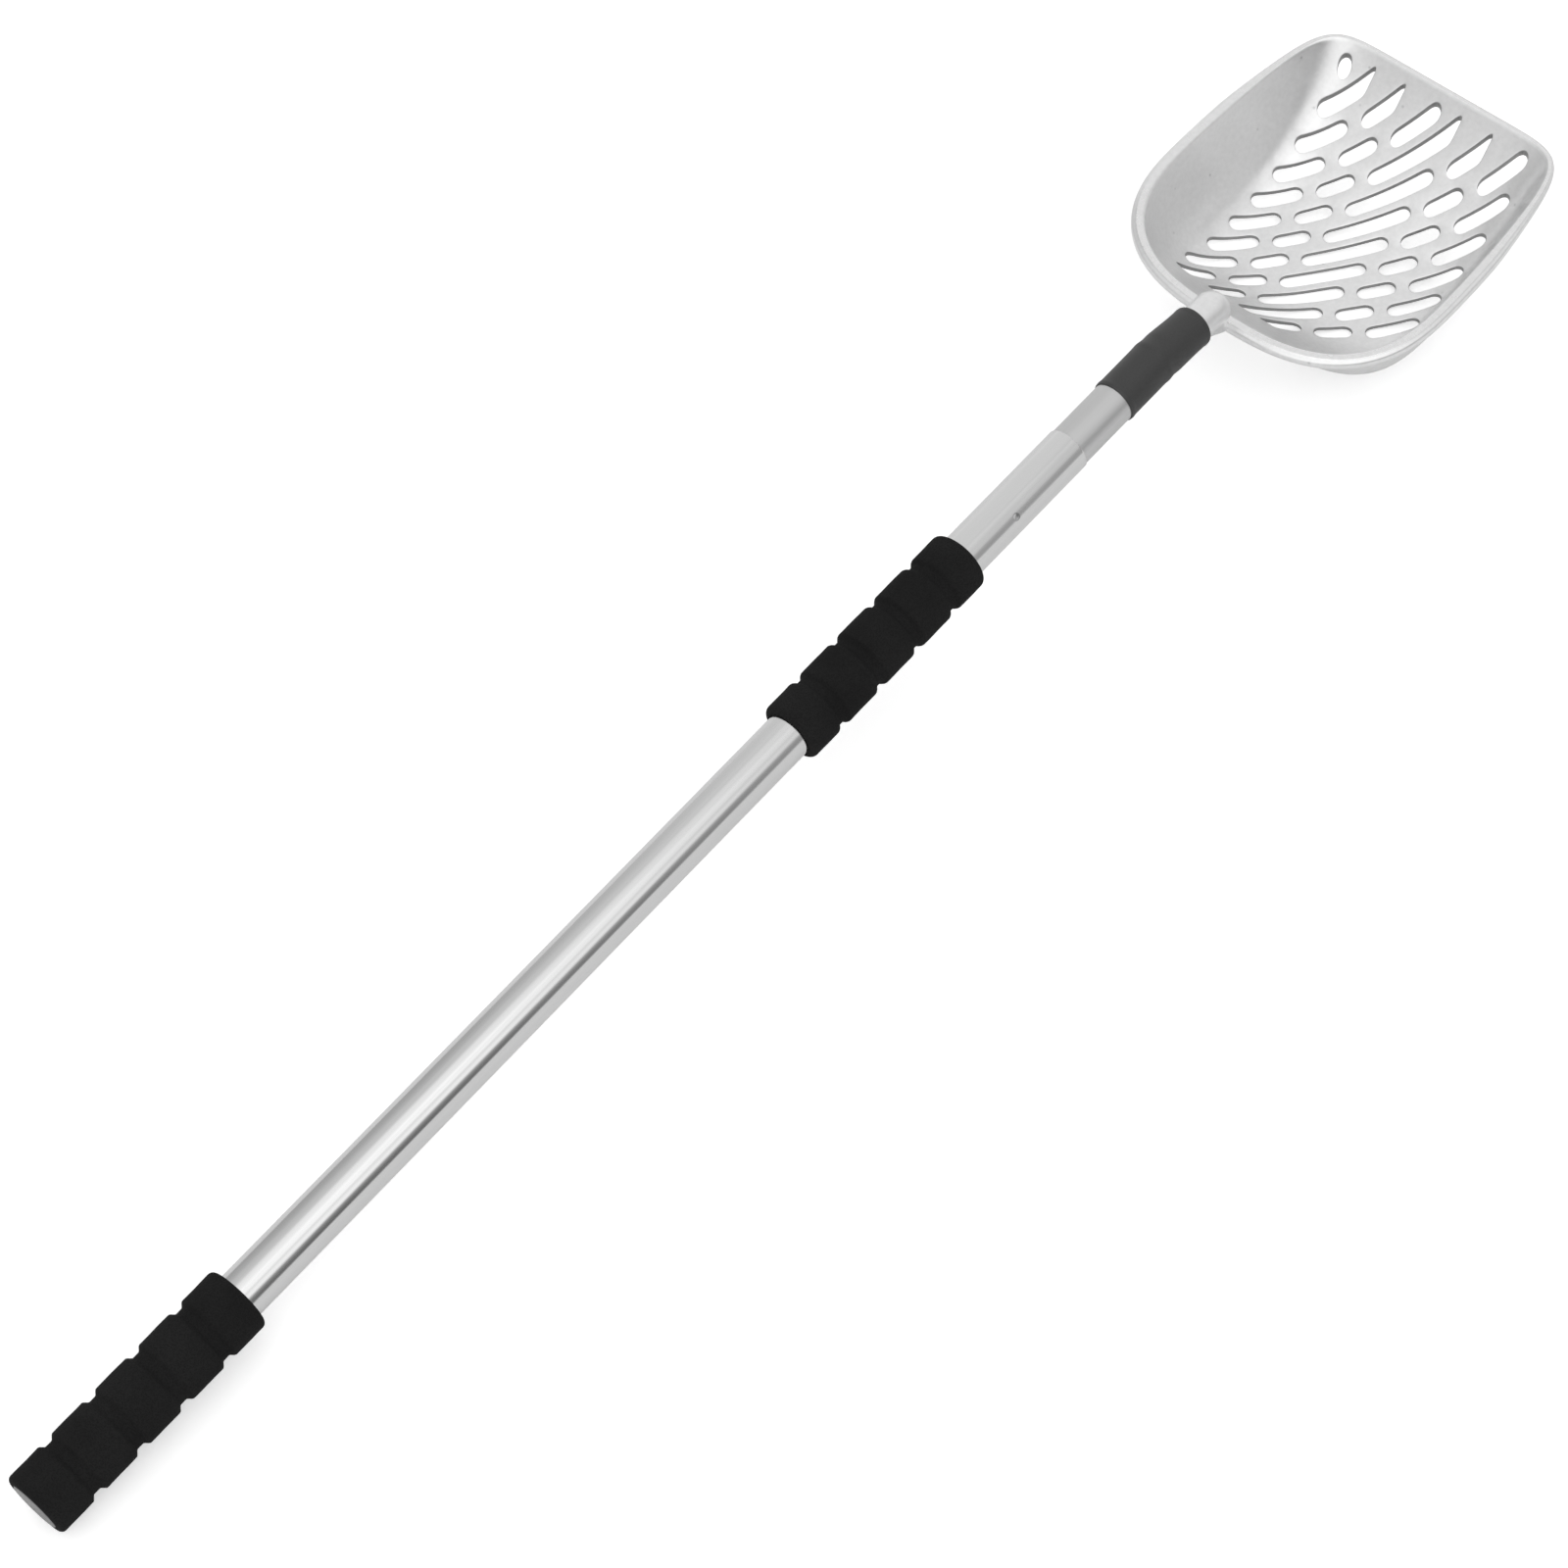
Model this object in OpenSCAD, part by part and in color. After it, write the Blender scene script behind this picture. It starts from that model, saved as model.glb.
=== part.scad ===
// Long-handled sieve scoop: a cast dish on a two-piece telescopic pole.
// +X runs from the butt to the dish, +Z is the dish's open side, +Y is left.
// The origin is the centre of the butt plug's flat outer face.

/* [Outer tube] */
// Outside diameter of the outer tube
pole_d = 22; // [20:0.5:26]
// Wall of the outer tube
pole_wall = 0.55; // [0.5:0.05:0.7]
// Distance from the butt face to the start of the outer tube
pole_start = 2.2; // [2:0.1:3]
// Distance from the butt face to the mouth of the outer tube
pole_mouth = 645; // [620:1:660]
// Distance from the butt face to the punch mark
punch_at = 599; // [580:1:620]
// Angle of the punch mark round the tube, from the top towards the right
punch_turn = 51; // [0:1:90]
// Depth of the punch mark
punch_depth = 0.25; // [0.1:0.05:0.3]

/* [Inner tube] */
// Running clearance between the two tubes, on the radius
tube_gap = 0.05; // [0.02:0.01:0.08]
// Wall of the inner tube
inner_wall = 1.2; // [1:0.1:1.4]
// Distance from the butt face to the rear end of the inner tube
inner_start = 150; // [140:1:180]
// Distance from the butt face to the front end of the inner tube
inner_end = 707; // [700:1:712]

/* [Foam grips] */
// Outside diameter of the butt grip
butt_grip_d = 31.2; // [29:0.1:33]
// Outside diameter of the middle grip
mid_grip_d = 30; // [28:0.1:33]
// Start of the butt grip
butt_grip_start = 0.3; // [0.1:0.1:0.6]
// Length of the butt grip
butt_grip_len = 115.3; // [100:0.1:125]
// Start of the middle grip
mid_grip_start = 454.6; // [430:0.1:470]
// Length of the middle grip
mid_grip_len = 115; // [100:1:130]
// Segments along each grip
grip_segments = 5; // [3:1:6]
// Distance between two grooves of the butt grip
butt_groove_pitch = 24.3; // [22:0.1:25]
// Distance between two grooves of the middle grip
mid_groove_pitch = 24.9; // [22:0.1:25]
// Width of the groove between two segments
groove_w = 8.2; // [4:0.1:9]
// Depth of the groove
groove_depth = 2; // [1:0.1:2.5]
// Rounding of a grip's end edges
grip_edge = 2.4; // [1:0.1:3]

/* [Butt plug] */
// Diameter of the plug's flange
plug_d = 23.4; // [22.5:0.1:25]
// Thickness of the plug's flange, most of it sunk into the butt grip
plug_flange_t = 1.2; // [1:0.1:2]
// Length of the plug's spigot inside the tube
spigot_len = 22; // [10:1:30]
// Rounding of the flange's outer edge
plug_edge = 1; // [0.5:0.1:1.1]

/* [Twist lock] */
// Diameter of the lock's stud
stud_d = 6; // [5:0.5:7]
// Length of the split expander
expander_len = 36; // [30:1:40]
// Width of the expander's saw cuts
expander_cut = 1.6; // [1:0.1:2]
// Large diameter of the stud's cone
cone_d = 14; // [12:0.5:15]
// Length of the plug inside the inner tube
lock_plug_len = 22; // [15:1:30]
// Across-flats size of the lock nut
nut_flats = 10; // [9:0.5:11]

/* [Neck] */
// Start of the rubber sleeve
sleeve_start = 677.5; // [670:0.5:684]
// End of the rubber sleeve
sleeve_end = 735.5; // [728:0.5:738]
// Outside diameter of the sleeve on the inner tube
sleeve_d = 22.3; // [21.8:0.1:24]
// Outside diameter of the sleeve's front end
sleeve_tip_d = 21; // [20:0.1:22.5]
// Diameter of the cast stem
stem_d = 18; // [17:0.1:18.3]
// Length of the stem's tang inside the inner tube
tang_len = 48; // [40:1:55]
// Downward tilt of the stem from the pole
stem_tilt = 8; // [0:1:9]
// Length of the tilted stem up to the centre of its round nose
stem_len = 42; // [40:0.5:44]
// Diameter of the cross pin
pin_d = 4; // [3:0.5:5]
// Distance from the butt face to the cross pin
pin_at = 690; // [684:1:696]

/* [Dish] */
// Distance from the butt face to the back of the dish rim
dish_at = 752; // [749:0.5:753]
// Height of the dish rim, at the back, below the pole's centre line
dish_drop = 16.6; // [15:0.1:18]
// Downward tilt of the rim plane from the pole
dish_tilt = 2; // [0:0.5:4]
// Length of the dish, over the rim
dish_len = 180; // [175:1:185]
// Half of the dish's greatest width, over the rim
dish_half = 81.6; // [78:0.2:84]
// Distance from the back of the rim to the widest place
widest_at = 75; // [70:1:80]
// Depth from the rim plane to the inside of the floor
dish_depth = 50; // [45:1:55]
// Wall thickness
dish_wall = 2.4; // [2.2:0.1:3]
// Narrowing of the sides at the front edge, as a share of the width
dish_taper = 0.1; // [0.1:0.01:0.2]
// Width of the rim band round the back and sides
rim_band = 6.3; // [5:0.1:7]
// Height of the rim's outer edge round the back and sides
rim_edge = 5; // [4:0.1:6]
// Width and height of the rim at the front lip
lip_band = 3; // [2.8:0.1:3.4]

/* [Sieve slots] */
// Width of a slot
slot_w = 7.4; // [6:0.1:8]
// Distance between two slots of a column
slot_pitch = 17.1; // [16.5:0.1:17.5]
// Angle of a slot from the pole
slot_angle = 40; // [35:1:45]
// Length of the slots in the centre column
long_slot = 42.5; // [40:0.5:44]
// Length of the slots in the two narrow columns
short_slot = 19; // [17:0.5:20]
// Length of the slots in the two outer columns
outer_slot = 26; // [24:0.5:27]
// Distance from the centre line to the narrow columns
narrow_column = 25.5; // [25:0.1:26.5]
// Distance from the centre line to the outer columns
outer_column = 45.5; // [45:0.1:46]
// Where the first lane of slots would cross the centre line
first_lane = 222; // [220:1:224]
// Width of the oval hole in the left front corner
corner_hole_w = 6.6; // [5:0.1:7]
// Plain strip behind the front edge
plain_lip = 6.5; // [4:0.5:8]
// How far the front slots with a slanting end are drawn out towards the lip
front_draw = 8; // [0:0.5:9]
// How far behind its normal end a slanting end is cut
slant_back = 0.7; // [0:0.1:2]
// How much sooner the front slots with a round end stop
round_short = 1.5; // [0:0.5:4]
// Plain strip in front of the back of the rim
plain_back = 37; // [35:1:45]

/* [Hidden] */
$fn = 96;

bore_d = pole_d - 2 * pole_wall;
inner_d = bore_d - 2 * tube_gap;
inner_bore = inner_d - 2 * inner_wall;
cut_over = 1;
// The stem's pin hole is this much wider than the pin, because its facets cut inside the circle.
pin_play = 0.1;

// The dish outline is a superellipse of its own shape behind and ahead of the widest place.
back_power = 2.75;
front_power = 10;
// The floor's rise towards the back, towards the front lip and towards the sides.
back_curve = 2.15;
front_curve = 2.9;
side_curve = 8;
back_len = widest_at - rim_band;
front_len = dish_len - widest_at - lip_band;
half_in = dish_half - rim_band;

around = 60;
inner_rings = 9;
outer_rings = 7;
outer_reach = 0.96;
slope_step = 0.2;

lanes = [1:11];
lane_round_every = 3;
slot_columns = [[-outer_column, outer_slot], [-narrow_column, short_slot], [0, long_slot],
                [narrow_column, short_slot], [outer_column, outer_slot]];
slot_front = dish_len - plain_lip;
slot_sides = 16;
stem_sides = 40;

// A solid whose axis lies along X, starting at x.
module along_x(x) { translate([x, 0, 0]) rotate([0, 90, 0]) children(); }

// A straight tube along X.
module tube(x, length, outside, inside) {
    along_x(x) difference() {
        cylinder(h = length, d = outside);
        translate([0, 0, -cut_over]) cylinder(h = length + 2 * cut_over, d = inside);
    }
}

// ---- Pole ----

module outer_tube() {
    punch_r = 5;
    color("silver") difference() {
        tube(pole_start, pole_mouth - pole_start, pole_d, bore_d);
        rotate([punch_turn, 0, 0])
            translate([punch_at, 0, pole_d / 2 + punch_r - punch_depth]) sphere(r = punch_r);
    }
}

module inner_tube() {
    color("lightgray") difference() {
        tube(inner_start, inner_end - inner_start, inner_d, inner_bore);
        translate([pin_at, 0, 0]) rotate([90, 0, 0]) cylinder(h = 2 * pole_d, d = pin_d, center = true);
    }
}

module end_plug() {
    flange_r = plug_d / 2;
    color("darkgray") along_x(0) {
        rotate_extrude() polygon(concat(
            [[0, pole_start], [0, 0]],
            [for (a = [0:15:90]) [flange_r - plug_edge * (1 - sin(a)), plug_edge * (1 - cos(a))]],
            [[flange_r, plug_flange_t], [pole_d / 2, plug_flange_t], [pole_d / 2, pole_start]]));
        translate([0, 0, pole_start]) cylinder(h = spigot_len, d = bore_d);
    }
}

// ---- Foam grips ----

// How far the grip's skin lies below its full radius, at distance s from the grip's end.
function edge_drop(s) = s >= grip_edge ? 0 : grip_edge - sqrt(grip_edge * grip_edge - pow(grip_edge - s, 2));

// Stations of one groove: a flat floor between two rounded flanks, as [offset, share of depth].
groove_shape = [[-0.5, 0], [-0.44, 0.12], [-0.36, 0.55], [-0.28, 0.88], [-0.2, 1],
                [0.2, 1], [0.28, 0.88], [0.36, 0.55], [0.44, 0.12], [0.5, 0]];

// A seat deeper than zero is a recess for the plug's flange in the grip's first end.
module foam_grip(start, length, outside, pitch, seat) {
    ends = [0, 0.2, 0.7, 1.4, grip_edge];
    color([0.13, 0.13, 0.13]) along_x(start) rotate_extrude() polygon(concat(
        [[pole_d / 2, seat]],
        seat > 0 ? [[plug_d / 2, seat], [plug_d / 2, 0]] : [],
        [for (s = ends) [outside / 2 - edge_drop(s), s]],
        [for (k = [1:grip_segments - 1], g = groove_shape)
            [outside / 2 - groove_depth * g[1],
             length / 2 + (k - grip_segments / 2) * pitch + groove_w * g[0]]],
        [for (i = [len(ends) - 1:-1:0]) [outside / 2 - edge_drop(ends[i]), length - ends[i]]],
        [[pole_d / 2, length]]));
}

module butt_grip() {
    foam_grip(butt_grip_start, butt_grip_len, butt_grip_d, butt_groove_pitch,
              plug_flange_t - butt_grip_start);
}

module mid_grip() { foam_grip(mid_grip_start, mid_grip_len, mid_grip_d, mid_groove_pitch, 0); }

// ---- Twist lock ----

plug_flange = 4;
lock_gap = 0.6;
journal_gap = 0.05;
cone_gap = 0.3;
expander_end = inner_start - plug_flange - 5;
expander_start = expander_end - expander_len;
journal_len = expander_len * 0.4;
cone_start = expander_start + journal_len;
washer_t = 1.6;
washer_d = 13;
nut_t = 5;
nut_end = expander_start - lock_gap - washer_t;
stud_start = nut_end - nut_t - 2;
stud_end = inner_start + lock_plug_len - 4;

module lock_plug() {
    color("dimgray") difference() {
        union() {
            along_x(inner_start) cylinder(h = lock_plug_len, d = inner_bore);
            along_x(inner_start - plug_flange) cylinder(h = plug_flange, d = inner_d - 0.4);
        }
        along_x(inner_start - plug_flange - cut_over)
            cylinder(h = stud_end - inner_start + plug_flange + cut_over, d = stud_d);
    }
}

module lock_stud() {
    color("gainsboro") {
        along_x(stud_start) cylinder(h = stud_end - stud_start, d = stud_d);
        along_x(cone_start) cylinder(h = expander_end - cone_start, d1 = stud_d, d2 = cone_d);
        along_x(expander_end) cylinder(h = inner_start - plug_flange - expander_end, d = cone_d);
    }
}

module lock_expander() {
    color("whitesmoke") difference() {
        along_x(expander_start) cylinder(h = expander_len, d = inner_d);
        along_x(expander_start - cut_over)
            cylinder(h = expander_len + cut_over, d = stud_d + 2 * journal_gap);
        along_x(cone_start)
            cylinder(h = expander_end - cone_start, d1 = stud_d + 2 * cone_gap, d2 = cone_d + 2 * cone_gap);
        along_x(expander_end - cut_over / 10) cylinder(h = cut_over, d = cone_d + 2 * cone_gap);
        for (turn = [0, 90])
            rotate([turn, 0, 0])
                translate([cone_start, -expander_cut / 2, -pole_d])
                    cube([expander_len, expander_cut, 2 * pole_d]);
    }
}

module lock_washer() {
    color("silver") tube(nut_end, washer_t, washer_d, stud_d);
}

module lock_nut() {
    color("silver") along_x(nut_end - nut_t) difference() {
        cylinder(h = nut_t, d = nut_flats / cos(30), $fn = 6);
        translate([0, 0, -cut_over]) cylinder(h = nut_t + 2 * cut_over, d = stud_d);
    }
}

// ---- Neck ----

// Carries its children to the end of the inner tube and tilts them with the stem.
module tilted() { translate([inner_end, 0, 0]) rotate([0, 90 + stem_tilt, 0]) children(); }

sleeve_tip = (sleeve_end - inner_end) / cos(stem_tilt);

module neck_sleeve() {
    color([0.2, 0.2, 0.2]) difference() {
        union() {
            along_x(sleeve_start) cylinder(h = inner_end - sleeve_start, d = sleeve_d);
            translate([inner_end, 0, 0]) sphere(d = sleeve_d);
            tilted() cylinder(h = sleeve_tip, d1 = sleeve_d, d2 = sleeve_tip_d);
        }
        along_x(sleeve_start - cut_over) cylinder(h = inner_end - sleeve_start + cut_over, d = inner_d);
        tilted() translate([0, 0, -2]) cylinder(h = sleeve_tip + 4, d = stem_d);
    }
}

module neck_pin() {
    color("silver") translate([pin_at, 0, 0]) rotate([90, 0, 0])
        cylinder(h = inner_d - 0.2, d = pin_d, center = true);
}

// ---- Dish ----

// Superellipse power and reach on the side of the widest place where c is the cosine.
function outline_power(c) = c > 0 ? front_power : back_power;
function reach(c) = c > 0 ? front_len : back_len;

// Plan point at a share of the way from the widest place's middle to the inner outline.
function plan(share, turn) =
    let (n = outline_power(cos(turn)),
         m = pow(pow(abs(cos(turn)), n) + pow(abs(sin(turn)), n), -1 / n),
         s = share * m * cos(turn),
         narrow = 1 - dish_taper * pow(max(s, 0), 2))
    [widest_at + s * reach(cos(turn)), share * m * sin(turn) * half_in * narrow];

// Height of the inner skin below the rim plane at plan point [x, y].
function skin(x, y) =
    let (c = x - widest_at,
         s = min(abs(c) / reach(c), 1),
         n = outline_power(c),
         narrow = c > 0 ? 1 - dish_taper * s * s : 1,
         half = max(half_in * narrow * pow(1 - pow(s, n), 1 / n), 0.01),
         rise = pow(s, c > 0 ? front_curve : back_curve),
         side = min(pow(abs(y) / half, side_curve), 1))
    -dish_depth * (1 - rise) * (1 - side);

function inner_point(share, turn) = let (p = plan(share, turn)) [p[0], p[1], skin(p[0], p[1])];

// The outer skin lies one wall away from the inner skin, square to it.
function outer_point(share, turn) =
    let (p = plan(share, turn),
         z = skin(p[0], p[1]),
         gx = (skin(p[0] + slope_step, p[1]) - skin(p[0] - slope_step, p[1])) / (2 * slope_step),
         gy = (skin(p[0], p[1] + slope_step) - skin(p[0], p[1] - slope_step)) / (2 * slope_step),
         k = dish_wall / sqrt(1 + gx * gx + gy * gy))
    [p[0] + gx * k, p[1] + gy * k, z - k];

// Share of the full rim: 1 round the back and sides, falling to 0 at the front lip.
function rim_share(turn) = let (t = min(max((cos(turn) - 0.25) / 0.55, 0), 1)) 1 - t * t * (3 - 2 * t);

// A point of the rim's outer edge, square to the outline, at height z.
function rim_point(turn, z) =
    let (p = plan(1, turn), a = plan(1, turn - 1), b = plan(1, turn + 1),
         d = b - a,
         w = lip_band + (rim_band - lip_band) * rim_share(turn))
    [p[0] + d[1] / norm(d) * w, p[1] - d[0] / norm(d) * w, z];

function rim_drop(turn) = lip_band + (rim_edge - lip_band) * rim_share(turn);

function ring_share(k, count) = sin(90 * k / count);

module dish_shell() {
    turns = [for (i = [0:around - 1]) i * 360 / around];
    rows = concat(
        [for (k = [1:inner_rings]) [for (t = turns) inner_point(ring_share(k, inner_rings), t)]],
        [[for (t = turns) rim_point(t, 0)]],
        [[for (t = turns) rim_point(t, -rim_drop(t))]],
        [for (k = [outer_rings:-1:1]) [for (t = turns) outer_point(outer_reach * ring_share(k, outer_rings), t)]]);
    count = len(rows);
    floor_in = inner_point(0, 0);
    poles = [floor_in, floor_in - [0, 0, dish_wall]];
    last = (count - 1) * around;
    points = concat([for (row = rows) each row], poles);
    faces = concat(
        [for (i = [0:around - 1]) [count * around, (i + 1) % around, i]],
        [for (r = [0:count - 2], i = [0:around - 1], half = [0, 1])
            let (a = r * around + i, b = r * around + (i + 1) % around)
            half == 0 ? [a, b, a + around] : [b, b + around, a + around]],
        [for (i = [0:around - 1]) [count * around + 1, last + i, last + (i + 1) % around]]);
    polyhedron(points, faces);
}

// One slot's plan: a bar with round ends, centred on [x, y], kept inside the plain strips.
// A slanting front end is drawn out and cut parallel to the pole.
module slot_plan(x, y, length, round_front) {
    half = (length - slot_w) / 2;
    forward = [cos(slot_angle), -sin(slot_angle)];
    room = (slot_front - slot_w / 2 - x) / forward[0];
    slanting = !round_front && room < half + front_draw;
    fit = round_front ? min(half, room - round_short) : half + (slanting ? front_draw : 0);
    low_y = slanting ? y + half * forward[1] + slant_back : -dish_half;
    intersection() {
        hull() {
            translate([x, y] - half * forward) circle(d = slot_w, $fn = slot_sides);
            translate([x, y] + fit * forward) circle(d = slot_w, $fn = slot_sides);
        }
        translate([plain_back, low_y]) square([slot_front - plain_back, 2 * dish_half]);
    }
}

module sieve_slots() {
    for (lane = lanes, column = slot_columns) {
        x = first_lane - slot_pitch * lane - column[0];
        if (x > plain_back - 4 && x < slot_front + 3)
            translate([0, 0, -dish_depth - 2 * dish_wall]) linear_extrude(dish_depth + 2 * dish_wall)
                slot_plan(x, column[0], column[1], lane % lane_round_every == 0);
    }
    translate([0, 0, -dish_depth]) linear_extrude(dish_depth) corner_hole();
}

// The lone oval hole in the left front corner.
module corner_hole() {
    translate([slot_front - 5.5, outer_column + 6.8]) rotate(26) hull()
        for (side = [-1, 1]) translate([side, 0]) circle(d = corner_hole_w, $fn = slot_sides);
}

module dish() {
    translate([dish_at, 0, -dish_drop]) rotate([0, dish_tilt, 0]) difference() {
        dish_shell();
        sieve_slots();
    }
}

// The stem: a tang in the inner tube, then a tilted round bar with a round nose on the rim.
module stem($fn = stem_sides) {
    difference() {
        along_x(inner_end - tang_len) cylinder(h = tang_len, d = inner_bore);
        translate([pin_at, 0, 0]) rotate([90, 0, 0])
            cylinder(h = 2 * pole_d, d = pin_d + pin_play, center = true);
    }
    intersection() {
        translate([inner_end, 0, 0]) sphere(d = stem_d);
        along_x(inner_end) cylinder(h = stem_d, d = stem_d);
    }
    tilted() {
        cylinder(h = stem_len, d = stem_d);
        translate([0, 0, stem_len]) sphere(d = stem_d);
    }
}

// The saddle under the stem, which joins it to the rim and to the outside of the back wall.
module saddle() {
    foot = [dish_at, -dish_drop - 2.4];
    hull() {
        tilted() translate([3, 0, stem_len - 10]) sphere(r = 6.5, $fn = 24);
        tilted() translate([3, 0, stem_len - 1]) sphere(r = 7.5, $fn = 24);
        for (side = [-1, 1])
            translate([foot[0], side * 3.5, foot[1]]) sphere(r = 3, $fn = 24);
    }
}

module scoop_head() {
    color("gainsboro") {
        dish();
        stem();
        saddle();
    }
}

scoop_head();
neck_sleeve();
neck_pin();
inner_tube();
lock_plug();
lock_stud();
lock_expander();
lock_washer();
lock_nut();
outer_tube();
mid_grip();
butt_grip();
end_plug();
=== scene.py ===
"""A long-handled sieve scoop: a cast dish on a two-piece telescopic pole with foam grips."""

import logging
import math
from dataclasses import dataclass, field
from enum import Enum

import bmesh
import bpy
import numpy as np
from mathutils import Matrix, Vector
from mathutils.geometry import delaunay_2d_cdt


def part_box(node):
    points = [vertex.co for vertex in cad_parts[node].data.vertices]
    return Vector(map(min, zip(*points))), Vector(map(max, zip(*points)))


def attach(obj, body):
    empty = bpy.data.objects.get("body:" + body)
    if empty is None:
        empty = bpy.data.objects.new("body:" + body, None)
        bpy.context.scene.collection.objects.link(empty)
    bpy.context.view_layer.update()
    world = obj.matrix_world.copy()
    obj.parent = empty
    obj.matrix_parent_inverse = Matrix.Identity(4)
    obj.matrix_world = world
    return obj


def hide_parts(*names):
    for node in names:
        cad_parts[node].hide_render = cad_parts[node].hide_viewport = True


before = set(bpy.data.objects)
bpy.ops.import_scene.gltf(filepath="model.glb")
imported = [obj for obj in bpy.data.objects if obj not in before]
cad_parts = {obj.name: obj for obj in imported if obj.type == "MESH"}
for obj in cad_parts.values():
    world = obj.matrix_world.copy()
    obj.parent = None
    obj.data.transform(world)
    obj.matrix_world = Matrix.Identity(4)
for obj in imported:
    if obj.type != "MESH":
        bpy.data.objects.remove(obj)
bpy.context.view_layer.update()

MM = 0.001
FULL_TURN = 2 * math.pi
Array = np.ndarray
log = logging.getLogger("scoop")


class Body(Enum):
    """The three bodies that pieces ride on."""

    OUTER = "outer_pole"
    LOCK = "lock"
    INNER = "inner_pole"


def box_mm(node: str) -> tuple[Array, Array]:
    """A node's lowest and highest corners at rest, in millimetres."""
    low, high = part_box(node)
    return np.array(low) / MM, np.array(high) / MM


# ---- Mesh tools ----


def smoothstep(t: Array) -> Array:
    """Ease t from 0 to 1: t' = t^2 (3 - 2 t), with t held between 0 and 1."""
    t = np.clip(t, 0.0, 1.0)
    return t * t * (3 - 2 * t)


def grid_faces(rows: int, columns: int, start: int = 0) -> Array:
    """Quads of a grid that closes on itself along its columns.

    Args:
        rows: Number of point rows.
        columns: Points in a row; the last joins the first.
        start: Index of the grid's first point.

    Returns:
        An array of four indices a row.
    """
    r, c = np.meshgrid(np.arange(rows - 1), np.arange(columns), indexing="ij")
    ahead = (c + 1) % columns
    quads = np.stack([r * columns + c, r * columns + ahead, (r + 1) * columns + ahead, (r + 1) * columns + c], -1)
    return quads.reshape(-1, 4) + start


def signed_volume(points: Array, tris: Array) -> float:
    """Volume of a closed mesh, the sum of a . (b x c) / 6; negative when it is inside out."""
    a, b, c = (points[tris[:, k]] for k in range(3))
    return float(np.einsum("ij,ij->i", a, np.cross(b, c)).sum() / 6)


def build_mesh(name: str, points: Array, quads: Array, tris: Array | None = None) -> bpy.types.Mesh:
    """Make a smooth-shaded mesh from whole arrays, turned right side out.

    Args:
        name: The mesh's name.
        points: Points in millimetres, three numbers a row.
        quads: Four indices a row.
        tris: Three indices a row, or None.

    Returns:
        The mesh, in metres.
    """
    tris = np.empty((0, 3), int) if tris is None else tris
    flat = np.concatenate([tris, quads[:, [0, 1, 2]], quads[:, [0, 2, 3]]])
    if signed_volume(points, flat) < 0:
        quads, tris = quads[:, ::-1], tris[:, ::-1]
    mesh = bpy.data.meshes.new(name)
    sizes = np.concatenate([np.full(len(quads), 4), np.full(len(tris), 3)])
    corners = np.concatenate([quads.ravel(), tris.ravel()])
    mesh.vertices.add(len(points))
    mesh.loops.add(len(corners))
    mesh.polygons.add(len(sizes))
    mesh.vertices.foreach_set("co", (points * MM).astype(np.float32).ravel())
    mesh.loops.foreach_set("vertex_index", corners.astype(np.int32))
    mesh.polygons.foreach_set("loop_start", np.concatenate([[0], np.cumsum(sizes)[:-1]]).astype(np.int32))
    mesh.polygons.foreach_set("use_smooth", np.ones(len(sizes), bool))
    mesh.update(calc_edges=True)
    mesh.validate()
    return mesh


def set_attribute(mesh: bpy.types.Mesh, name: str, values: Array) -> None:
    """Store one number a point under a name that materials can read."""
    layer = mesh.attributes.new(name, "FLOAT", "POINT")
    layer.data.foreach_set("value", values.astype(np.float32))


def place(name: str, mesh: bpy.types.Mesh, body: Body, finish: "Finish",
          replaced: tuple[str, ...] = ()) -> bpy.types.Object:
    """Put a finished mesh in the scene as one piece.

    Args:
        name: The piece's name.
        mesh: Its mesh, already in place.
        body: The body that it rides on.
        finish: Its finish.
        replaced: Names of the solids that it stands for.

    Returns:
        The new object.
    """
    obj = bpy.data.objects.new(name, mesh)
    bpy.context.scene.collection.objects.link(obj)
    mesh.materials.clear()
    mesh.materials.append(finish.material())
    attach(obj, body.value)
    if replaced:
        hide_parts(*replaced)
    log.info("%s: %d points on %s", name, len(mesh.vertices), body.value)
    return obj


def arc(start: tuple[float, float], corner: tuple[float, float], end: tuple[float, float], steps: int) -> Array:
    """Points of the curve (1-t)^2 start + 2 t (1-t) corner + t^2 end.

    Args:
        start: First point.
        corner: Point that the curve bends towards.
        end: Last point.
        steps: Number of steps between the ends.

    Returns:
        steps + 1 points, both ends included.
    """
    t = np.linspace(0, 1, steps + 1)[:, None]
    a, b, c = (np.array(p, float) for p in (start, corner, end))
    return (1 - t) ** 2 * a + 2 * t * (1 - t) * b + t**2 * c


def lathe(profile: Array, sides: int) -> tuple[Array, Array]:
    """Turn a closed profile about the X axis.

    A point [x, r] goes to (x, r sin a, r cos a) for each angle a.

    Args:
        profile: Closed loop of [x, r] points, without the first one repeated.
        sides: Points round the axis.

    Returns:
        The points and the quads.
    """
    angle = np.arange(sides) * FULL_TURN / sides
    ring = np.concatenate([profile, profile[:1]])
    x = np.repeat(ring[:-1, :1], sides, 1)
    r = ring[:-1, 1:]
    points = np.stack([x, r * np.sin(angle), r * np.cos(angle)], -1).reshape(-1, 3)
    quads = grid_faces(len(ring), sides) % len(points)
    return points, quads


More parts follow.
